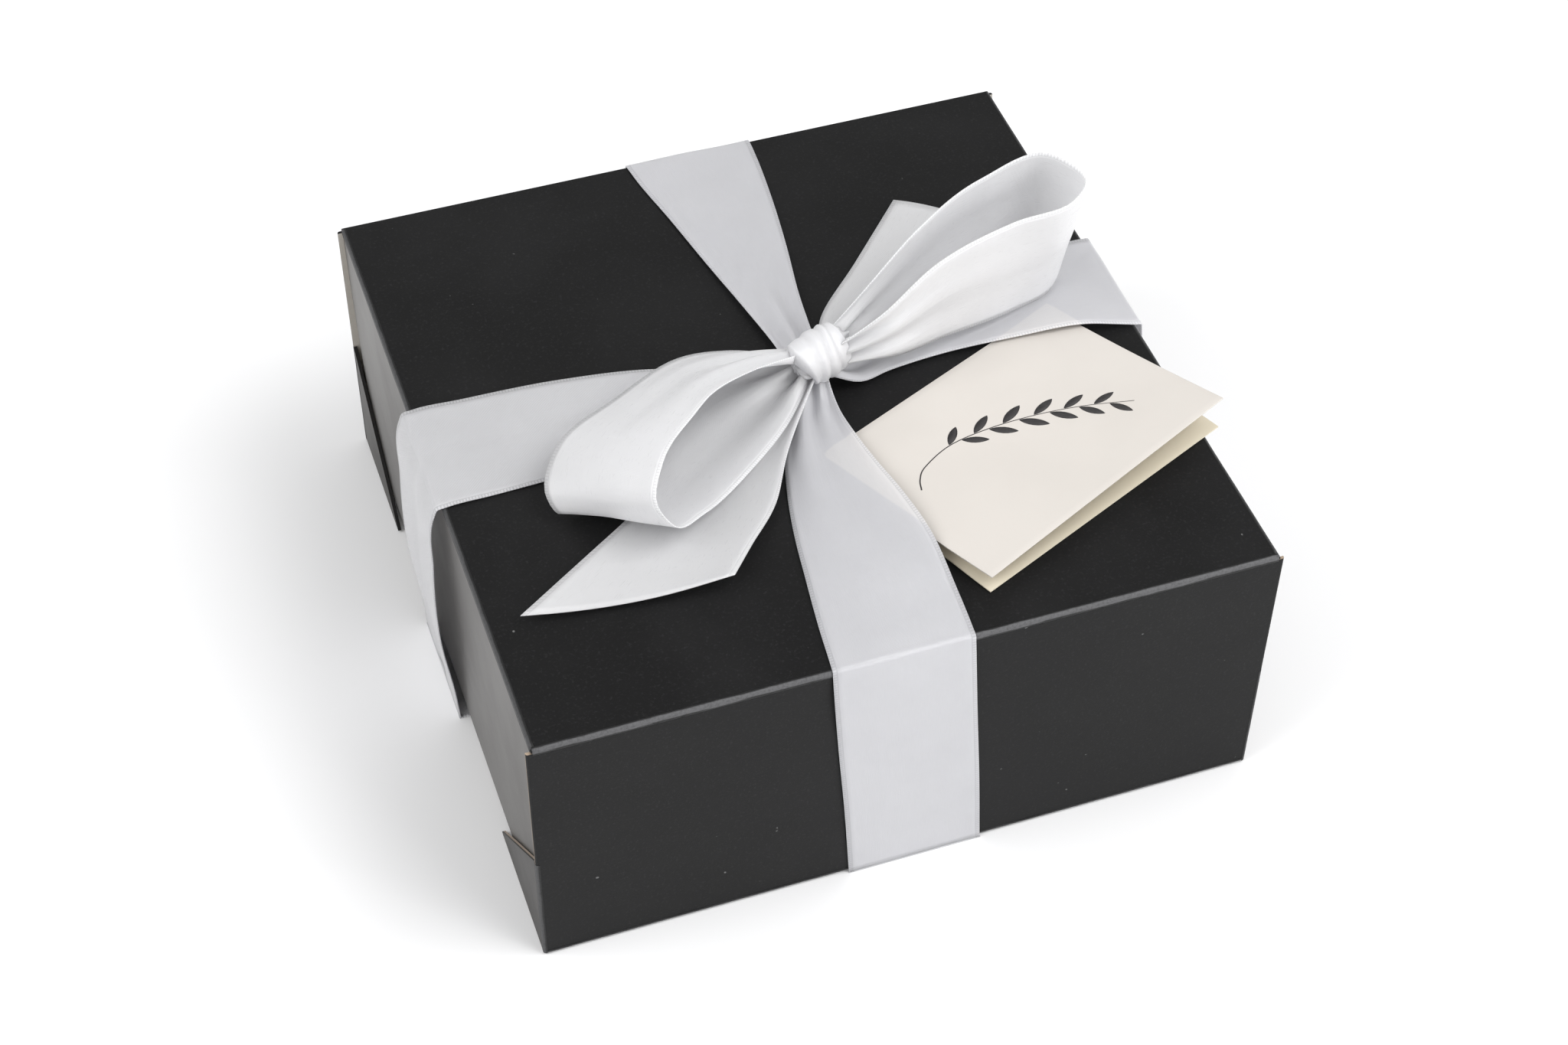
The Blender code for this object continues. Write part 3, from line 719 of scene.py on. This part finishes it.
def farFold(s, d, length):
    return ripple("farGather", s, d) + ripple("farLong", s, d) * min(d / folds["longStart"], 1)


def leftFold(s, d, length):
    height, place, breadth = folds["leftCrease"]
    crease = height * math.exp(-((s - place) / breadth) ** 2) * min(d / folds["creaseStart"], 1)
    return ripple("leftGather", s, d) + crease


def rightFold(s, d, length):
    return ripple("rightGather", s, d) + ripple("rightLong", s, d)


def noFold(s, d, length):
    return 0.0


wallFoot = -(lidZ - ribbon["wallEnd"]) / mm

runs = {  # the two rims of each length, from inside the knot over the lid and down the wall
    "near": [
        ((2.4, -5.0, 9.0), (9.4, -5.0, 9.0)),
        ((-1.5, -11.5, 3.4), (9.6, -11.5, 3.9)),
        ((-5.5, -18, 1.9), (9.3, -18, 3.6)),
        ((-10.2, -29, 1.4), (10.0, -29, 4.4)),
        ((-13.4, -40, 1.1), (11.4, -40, 5.1)),
        ((-16.4, -54, 0.9), (13.8, -54, 5.9)),
        ((-18.8, -70, 0.8), (15.6, -70, 6.0)),
        ((-21.2, -88, 0.6), (15.9, -87, 2.6)),
        ((-22.4, -99.4, 0.5), (15.6, -99.4, 0.6)),
        ((-22.6, -101.7, 0.1), (15.5, -101.7, 0.1)),
        ((-22.6, -102.0, -1.4), (15.5, -102.0, -1.4)),
        ((-20.6, -102.1, -30), (17.6, -102.1, -30)),
        ((-18.2, -102.1, -58), (19.8, -102.1, -58)),
        ((-16.3, -102.0, wallFoot), (21.6, -102.0, wallFoot)),
    ],
    "far": [
        ((10.2, -4.0, 6.5), (2.8, -4.0, 6.5)),
        ((11.2, 4.0, 3.4), (1.9, 4.0, 3.2)),
        ((12.6, 14, 2.6), (1.0, 14, 2.4)),
        ((14.6, 30, 1.9), (-1.6, 30, 1.8)),
        ((18.4, 52, 1.0), (-5.6, 52, 1.0)),
        ((21.4, 74, 0.7), (-9.6, 74, 0.7)),
        ((23.2, 94, 0.5), (-13.6, 94, 0.5)),
        ((23.4, 99.4, 0.5), (-14.4, 99.4, 0.5)),
        ((23.4, 101.7, 0.1), (-14.6, 101.7, 0.1)),
        ((23.4, 102.0, -1.4), (-14.6, 102.0, -1.4)),
        ((23.4, 102.3, -30), (-14.6, 102.3, -30)),
        ((23.4, 102.3, -58), (-14.6, 102.3, -58)),
        ((23.4, 102.0, wallFoot), (-14.6, 102.0, wallFoot)),
    ],
    "left": [
        ((1.0, -1.2, 6.0), (1.0, -8.2, 6.0)),
        ((-4.0, 1.2, 3.0), (-4.0, -8.4, 3.0)),
        ((-14, 6.8, 2.0), (-14, -8.6, 2.0)),
        ((-30, 14.4, 1.2), (-30, -10.8, 1.2)),
        ((-58, 19.8, 0.8), (-58, -14.8, 0.8)),
        ((-86, 21.2, 0.6), (-86, -16.2, 0.6)),
        ((-99.4, 21.5, 0.5), (-99.4, -16.5, 0.5)),
        ((-101.9, 21.5, 0.0), (-101.9, -16.5, 0.0)),
        ((-102.6, 21.5, -1.6), (-102.6, -16.5, -1.6)),
        ((-104.4, 21.5, -22), (-104.6, -16.5, -22)),
        ((-104.8, 21.5, -50), (-105.0, -16.5, -50)),
        ((-102.4, 21.5, -76), (-102.5, -16.5, -76)),
        ((-102.0, 21.5, wallFoot), (-102.0, -16.5, wallFoot)),
    ],
    "right": [
        ((9.0, -7.4, 8.0), (9.0, -2.0, 8.0)),
        ((19, -8.6, 3.0), (19, 2.8, 3.0)),
        ((28, -6.0, 1.9), (28, 9.5, 2.3)),
        ((44, -4.2, 1.6), (44, 18, 1.4)),
        ((65, -5.8, 3.0), (65, 25.4, 1.1)),
        ((85, -8.6, 4.5), (85, 28.2, 0.9)),
        ((95, -9.4, 2.1), (95, 28.4, 0.7)),
        ((99.8, -9.6, 0.7), (99.8, 28.4, 0.5)),
        ((101.9, -9.6, 0.1), (101.9, 28.4, 0.1)),
        ((102.1, -9.6, -1.4), (102.1, 28.4, -1.4)),
        ((102.3, -9.6, -30), (102.3, 28.4, -30)),
        ((102.3, -9.6, -58), (102.3, 28.4, -58)),
        ((102.0, -9.6, wallFoot), (102.0, 28.4, wallFoot)),
    ],
}


def makeRuns():
    face = satinMaterial("satinFace", satinLook["face"])
    # painted shade: the runs and the back get darker copies of the face's white
    run = satinMaterial("satinRun", satinLook["run"])
    back = satinMaterial("satinBack", satinLook["back"])
    for side, fold, material, rests in (
        ("near", nearFold, run, ["lid_panel", "hinge_wall", "cardFront"]),
        ("far", farFold, run, ["lid_panel", "far_wall"]),
        ("left", leftFold, back, ["lid_panel", "lid_left_flap"]),
        ("right", rightFold, run, ["lid_panel", "lid_right_flap", "cardFront"]),
    ):
        nodes = (f"ribbon_{side}_top_run", f"ribbon_{side}_wall_run")
        makeRibbon(side + "Run", onLid(runs[side]), "ribbon", material, nodes, fold)
    print("runs over the lid and down the walls")
    return face, back


underside = {"nearX": 0.0028, "farX": 0.0044, "step": 0.01, "columns": 6}


def makeUnderside(material):
    half = ribbon["width"] / 2
    for name, node in (
        ("underLengthwise", "ribbon_underside_lengthwise"),
        ("underLeft", "ribbon_underside_left"),
        ("underRight", "ribbon_underside_right"),
    ):
        low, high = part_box(node)
        z = (low.z + high.z) / 2
        rims = []
        for t in (0, 0.5, 1):
            if name == "underLengthwise":
                x = underside["nearX"] + (underside["farX"] - underside["nearX"]) * t
                y = low.y + (high.y - low.y) * t
                rims.append(((x - half, y, z), (x + half, y, z)))
            else:
                x = low.x + (high.x - low.x) * t
                rims.append(((x, high.y, z), (x, low.y, z)))
        makeRibbon(name, rims, "carton", material, (node,),
                   noFold, underside["step"], underside["columns"])
    print("cross under the box")


# bow

bow = {"step": 0.0026, "loopColumns": 18, "tailColumns": 16, "slantedCut": 0.9}

# the two rims of each length, in millimetres from the knot
leftLoop = [
    ((5, 1, 13), (6, -1.5, 14.5)),
    ((-13.5, 10, 13), (-13.5, -12, 24)),
    ((-27.5, 14, 10), (-25.5, -19, 28)),
    ((-48.5, 3, 11), (-35.5, -28, 30)),
    ((-67.5, -9, 11), (-47.5, -39, 27)),
    ((-74.5, -21, 7), (-51.5, -47, 20)),
    ((-72.5, -26, 3.2), (-47.5, -48, 12.5)),
    ((-60.5, -17, 2.8), (-37.5, -42, 8)),
    ((-43.5, 0, 3), (-20.5, -29, 6)),
    ((-22.5, 7, 4), (-6.5, -17, 7)),
    ((5, 1.5, 10), (6, -1.5, 10)),
]
rightLoop = [
    ((-6.5, -0.5, 15), (-6.5, -1, 9.5)),
    ((7.5, -2, 25), (11.5, -3, 8)),
    ((24.5, 3, 33), (28.5, 2, 6)),
    ((49.5, 8, 37), (51.5, 8, 4)),
    ((67.5, 10, 38), (65.5, 14, 3.2)),
    ((73.5, 16, 39), (70.5, 21, 3.2)),
    ((67.5, 28, 40), (65.5, 29, 3.2)),
    ((47.5, 26, 38), (49.5, 26, 3.6)),
    ((25.5, 16, 34), (28.5, 16, 5)),
    ((7.5, 6.5, 25), (11.5, 7, 8)),
    ((-6, 1.5, 15), (-6, 1.5, 10)),
]
leftTail = [
    ((4.5, 0, 9), (8, -2.5, 9)),
    ((-15.5, -12, 3.2), (-8.5, -24, 4)),
    ((-37.5, -20, 1.4), (-17.5, -40, 3)),
    ((-61.5, -36, 1.8), (-28.5, -53, 4.2)),
    ((-91, -56.5, 3), (-36.5, -63, 6)),
]
rightTail = [
    ((3, 1.25, 6), (9, -0.75, 7)),
    ((9, 17.25, 2), (29, 6.25, 4)),
    ((26, 36.25, 1.5), (54, 13.25, 2.5)),
    ((46, 58.25, 1.8), (73, 31.25, 1.8)),
]


def loopFold(s, d, length):
    grown = min(d / folds["longStart"], (length - d) / folds["longStart"], 1)
    crown = folds["loopCrown"] * math.sin(math.pi * s)
    return ripple("loopGather", s, d, length - d) + ripple("loopLong", s, d, length - d) * grown + crown


def tailFold(s, d, length):
    gained, constant = folds["tailCrown"]
    crown = (gained * (d / length) ** 3 + constant) * math.sin(math.pi * s)
    return ripple("tailGather", s, d) + crown


def makeBow(face):
    for name, node, pairs, start, rests in (
        ("bowLeftLoop", "bow_left_loop", leftLoop, "left", "leftRun"),
        ("bowRightLoop", "bow_right_loop", rightLoop, "right", "rightRun"),
    ):
        makeRibbon(name, fromKnot(pairs, ribbon[start]), "ribbon", face, (node,),
                   loopFold, bow["step"], bow["loopColumns"])
    for name, node, pairs, start, cut in (
        ("bowLeftTail", "bow_left_tail", leftTail, "left", bow["slantedCut"]),
        ("bowRightTail", "bow_right_tail", rightTail, "back", 1.0),
    ):
        makeRibbon(name, fromKnot(pairs, ribbon[start]), "ribbon", face, (node,),
                   tailFold, bow["step"], bow["tailColumns"])
    print("loops and tails")


knotLook = {
    "turn": 24,  # degrees from the hinge line, as the bow lies
    "wrap": {
        "half": 0.0074, "wide": 0.0066, "tall": 0.0080,
        "lean": -0.0020, "waist": 0.12, "mouth": 0.55,
    },
    "core": {
        "half": 0.0088, "wide": 0.0052, "tall": 0.0062,
        "lean": 0.0008, "waist": 0.55, "mouth": 0.25,
    },
    "creases": [  # place across the wrap, how far it wanders, phase, depth in metres, breadth
        (-0.50, 0.22, 0.4, -0.00034, 0.11),
        (-0.24, 0.22, 0.5, 0.00022, 0.14),
        (0.06, 0.30, 0.9, -0.00040, 0.09),
        (0.30, 0.26, 1.0, 0.00024, 0.12),
        (0.54, 0.20, 1.5, -0.00034, 0.08),
    ],
    "pleats": (0.00045, 9, 2.5),  # depth, how many, slant
    "mouthFrom": 0.86,  # the ends round inwards from here
    "skew": 0.12,  # wider on top than below
    "leanTurn": 1.75,  # radians about the bow, where it leans the most
    "columns": 44,
    "rows": 96,
    "clothWide": 0.013,
    "clothLong": 0.046,
}


def wrapSpot(shape, s, turn, creased):
    # s runs from -1 to 1 along the bow, turn is the angle about it
    away = abs(s)
    closing = 1 - shape["waist"] * away ** 2
    if away > knotLook["mouthFrom"]:
        rounded = (away - knotLook["mouthFrom"]) / (1 - knotLook["mouthFrom"])
        closing *= 1 - (1 - shape["mouth"]) * rounded ** 2
    if creased:
        relief = 0.0
        for place, wander, phase, depth, breadth in knotLook["creases"]:
            line = place + wander * math.sin(turn + phase)
            relief += depth * math.exp(-((s - line) / breadth) ** 2)
    else:
        depth, count, slant = knotLook["pleats"]
        relief = depth * away * math.sin(count * turn + slant * s)
    skewed = s * shape["half"] * (1 + knotLook["skew"] * math.sin(turn))
    x = skewed + shape["lean"] * math.cos(turn - knotLook["leanTurn"])
    y = (shape["wide"] * closing + relief) * math.cos(turn)
    z = (shape["tall"] * closing + relief) * math.sin(turn)
    return Vector((x, y, z))


def makeKnot(material):
    bm = bmesh.new()
    uv = bm.loops.layers.uv.new("weave")
    spots = {}
    for shape, creased in ((knotLook["core"], False), (knotLook["wrap"], True)):
        made = bmesh.ops.create_grid(bm, x_segments=knotLook["columns"], y_segments=knotLook["rows"],
                                     size=0.5)["verts"]
        for vert in made:
            s, t = vert.co.x * 2, vert.co.y + 0.5
            spots[vert] = (s, t)
            vert.co = wrapSpot(shape, s, 2 * math.pi * t, creased)
    half = ribbon["width"] / 2
    for face in bm.faces:
        for loop in face.loops:
            s, t = spots[loop.vert]
            loop[uv].uv = (half + s * knotLook["clothWide"], t * knotLook["clothLong"])
    bmesh.ops.remove_doubles(bm, verts=bm.verts, dist=1e-7)
    bmesh.ops.holes_fill(bm, edges=[edge for edge in bm.edges if edge.is_boundary])
    turned = Matrix.Rotation(math.radians(knotLook["turn"]), 3, "Z")
    bmesh.ops.rotate(bm, matrix=turned, verts=bm.verts)
    bmesh.ops.translate(bm, vec=ribbon["knot"], verts=bm.verts)
    bmesh.ops.recalc_face_normals(bm, faces=bm.faces)
    knot = finishPiece("bowKnot", bm, material, "ribbon")
    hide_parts("bow_knot")
    print("knot")


# card

def cardPoint(u, v, base, near, far):
    rise = (near + (far - near) * u) * v - card["curl"] * math.sin(math.pi * v) * (near > 0)
    spot = card["corner"] + card["along"] * (u * card["length"]) + card["out"] * (v * card["width"])
    return Vector((spot.x, spot.y, base + rise))


def makeLeaf(name, node, body, base, near, far, material):
    bm = bmesh.new()
    bmesh.ops.create_grid(bm, x_segments=card["columns"], y_segments=card["rows"], size=0.5)
    for vert in bm.verts:
        vert.co = cardPoint(vert.co.x + 0.5, vert.co.y + 0.5, base, near, far)
    bmesh.ops.reverse_faces(bm, faces=bm.faces)
    leaf = finishPiece(name, bm, material, body)
    thicken(leaf, card["paper"])
    bevel = leaf.modifiers.new("edge", "BEVEL")
    bevel.width = card["edge"]
    bevel.segments = 2
    bevel.limit_method = "ANGLE"
    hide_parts(node)


def makeCard():
    paper = paperMaterial("creamPaper", paperLook["front"])
    # painted bounce light on the lower leaf's inside
    inner = paperMaterial("creamPaperInside", paperLook["inside"])
    backLow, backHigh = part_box("card_back_leaf")
    lowZ = (backLow.z + backHigh.z) / 2
    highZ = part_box("card_front_leaf")[0].z + card["paper"] / 2
    makeLeaf("cardBack", "card_back_leaf", "card", lowZ, 0, 0, inner)
    makeLeaf("cardFront", "card_front_leaf", "card_front", highZ,
             card["riseNear"], card["riseFar"], paper)
    bm = bmesh.new()  # the rounded fold that joins the two leaves
    bmesh.ops.create_grid(bm, x_segments=card["foldColumns"], y_segments=card["foldRows"], size=0.5)
    middle, radius = (lowZ + highZ) / 2, (highZ - lowZ) / 2
    for vert in bm.verts:
        turn = math.pi * (vert.co.x + 0.5)
        spot = card["corner"] + card["along"] * ((vert.co.y + 0.5) * card["length"])
        spot = spot - card["out"] * (radius * math.sin(turn))
        vert.co = (spot.x, spot.y, middle + radius * math.cos(turn))
    bmesh.ops.recalc_face_normals(bm, faces=bm.faces)
    fold = finishPiece("cardFold", bm, paper, "card")
    thicken(fold, card["paper"])
    print("card")
    return highZ


sprig = {
    "stem": [  # shares of the card's length and width
        (0.12, 0.44), (0.15, 0.39), (0.20, 0.352), (0.32, 0.335),
        (0.46, 0.385), (0.60, 0.475), (0.72, 0.585), (0.83, 0.72),
    ],
    "stemWidth": 0.00035,
    "stemRows": 90,
    "stemTaper": (1.1, 0.6),  # share of that width at the root, share lost by the tip
    "probe": 0.01,
    "leafLength": 0.0084,
    "leafWidth": 0.0027,
    "firstLeaf": 0.42,
    "lastLeaf": 0.97,
    "leafAngle": 34,
    "leafPinch": 0.35,
    "leafCorners": 20,
    "stagger": 0.25,  # half the way by which one leaf of a pair is further along
    "biggest": 0.35,  # share of the way at which the leaves are biggest
    "shrink": 0.35,
    "leafGap": 0.56,  # how far the leaf's middle is from the stem, in leaf lengths
    "pairs": 6,
    "lift": 0.00003,
    "inkThickness": 0.00003,
}


def sprigPoint(t):
    points = [Vector((a, b, 0)) for a, b in sprig["stem"]]
    marks = [i / (len(points) - 1) for i in range(len(points))]
    return railAt(points, marks, t)


def makeSprig(highZ):
    bm = bmesh.new()
    size = Vector((card["length"], card["width"], 1))
    root, loss = sprig["stemTaper"]
    probe, biggest = sprig["probe"], sprig["biggest"]
    bmesh.ops.create_grid(bm, x_segments=1, y_segments=sprig["stemRows"], size=0.5)
    for vert in bm.verts:
        t = vert.co.y + 0.5
        ahead = (sprigPoint(min(t + probe, 1)) - sprigPoint(max(t - probe, 0))) * size
        side = Vector((-ahead.y, ahead.x, 0)).normalized()
        thin = sprig["stemWidth"] * (root - loss * t)
        vert.co = sprigPoint(t) * size + side * (vert.co.x * thin)
    for pair in range(sprig["pairs"]):
        for side in (-1, 1):
            share = (pair + sprig["stagger"] * (side + 1)) / sprig["pairs"]
            t = sprig["firstLeaf"] + (sprig["lastLeaf"] - sprig["firstLeaf"]) * share
            ahead = (sprigPoint(min(t + probe, 1)) - sprigPoint(t - probe)) * size
            angle = math.atan2(ahead.y, ahead.x) + side * math.radians(sprig["leafAngle"])
            big = 1 - sprig["shrink"] * abs(pair / sprig["pairs"] - biggest)
            made = bmesh.ops.create_circle(bm, cap_ends=True, segments=sprig["leafCorners"],
                                           radius=0.5)["verts"]
            for vert in made:
                pinch = 1 - (2 * vert.co.x) ** 2
                vert.co.y *= max(pinch, 0) ** sprig["leafPinch"]
                vert.co.x = (vert.co.x + sprig["leafGap"]) * sprig["leafLength"] * big
                vert.co.y *= sprig["leafWidth"] * big
            bmesh.ops.rotate(bm, matrix=Matrix.Rotation(angle, 3, "Z"), verts=made)
            bmesh.ops.translate(bm, vec=sprigPoint(t) * size, verts=made)
    for vert in bm.verts:
        u, v = vert.co.x / card["length"], vert.co.y / card["width"]
        top = cardPoint(u, v, highZ, card["riseNear"], card["riseFar"])
        vert.co = top + Vector((0, 0, card["paper"] / 2 + sprig["lift"]))
    bmesh.ops.recalc_face_normals(bm, faces=bm.faces)
    piece = finishPiece("cardSprig", bm, inkMaterial("printedInk"), "card_front")
    thicken(piece, sprig["inkThickness"])
    print("sprig printed on the card")


# carton

def paintCarton():
    directions = {
        "down": (0, 0, -1), "up": (0, 0, 1), "near": (0, -1, 0), "far": (0, 1, 0),
        "left": (-1, 0, 0), "right": (1, 0, 0),
    }
    printed = {
        "base_panel": "down", "hinge_wall": "near", "far_wall": "far", "left_side_wall": "left",
        "right_side_wall": "right", "left_dust_flap": "far", "right_dust_flap": "far",
        "corner_tab_near_left": "left", "corner_tab_far_left": "left", "corner_tab_near_right": "right",
        "corner_tab_far_right": "right", "lid_panel": "up", "lid_left_flap": "left",
        "lid_right_flap": "right", "lid_tuck_flap": "far",
    }
    for node, side in printed.items():
        mesh = frame["nodes"][node].data
        way = Vector(directions[side])
        outer = max(way.dot(vert.co) for vert in mesh.vertices)
        usual = boardLook["farWrap" if "far" in node else "inkWrap"]
        wrap = boardLook["wraps"].get(node, usual)
        gloss = 0.0
        if side in ("left", "right"):
            gloss = boardLook["tabGloss"] if "tab" in node else 1.0
        mesh.materials.clear()
        mesh.materials.append(boardMaterial("board_" + node, way, outer, gloss, side == "up", wrap))
    print("board finished")


def makeCrease(name, start, end, normalA, normalB, radius, tailA, tailB, material, body,
               blendTo=None):
    # start and end lie on the sharp line where the two outer faces would meet
    start, end = Vector(start), Vector(end)
    normalA, normalB = Vector(normalA), Vector(normalB)
    proud, length = creaseLook["proud"], (end - start).length
    along, across, offset = creaseLook["waver"]
    bm = bmesh.new()
    uv = bm.loops.layers.uv.new("weave")
    columns, rows = creaseLook["columns"], creaseLook["rows"]
    bmesh.ops.create_grid(bm, x_segments=columns, y_segments=rows, size=0.5)
    spots = {}
    arc = radius * math.pi / 2
    total = tailA + arc + tailB
    for vert in bm.verts:
        s, t = vert.co.x + 0.5, vert.co.y + 0.5
        spots[vert] = (s, t)
        walked = s * total
        centre = start.lerp(end, t) - (normalA + normalB) * radius
        if walked < tailA:
            spot = centre + normalA * (radius + proud) - normalB * (tailA - walked)
        elif walked > tailA + arc:
            spot = centre + normalB * (radius + proud) - normalA * (walked - tailA - arc)
        else:
            turn = (walked - tailA) / radius
            spot = centre + (normalA * math.cos(turn) + normalB * math.sin(turn)) * (radius + proud)
        rough = noise.noise(Vector((t * length * along, s * across, offset)))
        vert.co = spot + (normalA + normalB) * creaseLook["uneven"] * rough
    for face in bm.faces:
        for loop in face.loops:
            s, t = spots[loop.vert]
            loop[uv].uv = (s, t * length)
    bmesh.ops.solidify(bm, geom=bm.faces[:], thickness=creaseLook["thickness"])
    bmesh.ops.recalc_face_normals(bm, faces=bm.faces)
    piece = finishPiece(name, bm, material, None if blendTo else body)
    if blendTo:
        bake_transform(piece)


def makeCreases():
    worn = creaseMaterial("creaseWorn", creaseLook["worn"])
    fresh = creaseMaterial("creaseFresh", creaseLook["fresh"])
    lidRadius, wallRadius = creaseLook["lidRadius"], creaseLook["wallRadius"]
    wide, narrow = creaseLook["wide"], creaseLook["narrow"]
    up, down = (0, 0, 1), (0, 0, -1)
    lidLeft, lidRight = lidLow.x, lidHigh.x
    ends = creaseLook["ends"]
    makeCrease("hingeCrease", (lidLeft + ends["hinge"], nearY, lidZ),
               (lidRight - ends["hinge"], nearY, lidZ),
               (0, -1, 0), up, lidRadius, wide, narrow, worn, "carton", "lid")
    for name, x, out in (
        ("lidLeftCrease", lidLeft, (-1, 0, 0)),
        ("lidRightCrease", lidRight, (1, 0, 0)),
    ):
        makeCrease(name, (x, nearY + ends["lidNear"], lidZ), (x, farY - ends["lidFar"], lidZ),
                   out, up, lidRadius, wide, narrow, fresh, "lid")
    tabTop = tabHigh.z
    for name, x, y, out, away in (
        ("nearLeftCrease", leftX, nearY, (-1, 0, 0), (0, -1, 0)),
        ("nearRightCrease", rightX, nearY, (1, 0, 0), (0, -1, 0)),
        ("farLeftCrease", leftX, farY, (-1, 0, 0), (0, 1, 0)),
        ("farRightCrease", rightX, farY, (1, 0, 0), (0, 1, 0)),
    ):
        makeCrease(name, (x, y, footZ + ends["tabFoot"]), (x, y, tabTop - ends["tabTop"]),
                   out, away, wallRadius, creaseLook["tabWide"], narrow, fresh, "carton")
    for name, y, out in (("nearFootCrease", nearY, (0, -1, 0)), ("farFootCrease", farY, (0, 1, 0))):
        makeCrease(name, (leftX + ends["foot"], y, footZ), (rightX - ends["foot"], y, footZ),
                   out, down, wallRadius, narrow, creaseLook["footWide"], fresh, "carton")
    print("creases")


makeStudio()
paintCarton()
makeCreases()
satinFace, satinBack = makeRuns()
makeUnderside(satinBack)
makeBow(satinFace)
makeKnot(satinFace)
leafZ = makeCard()
makeSprig(leafZ)
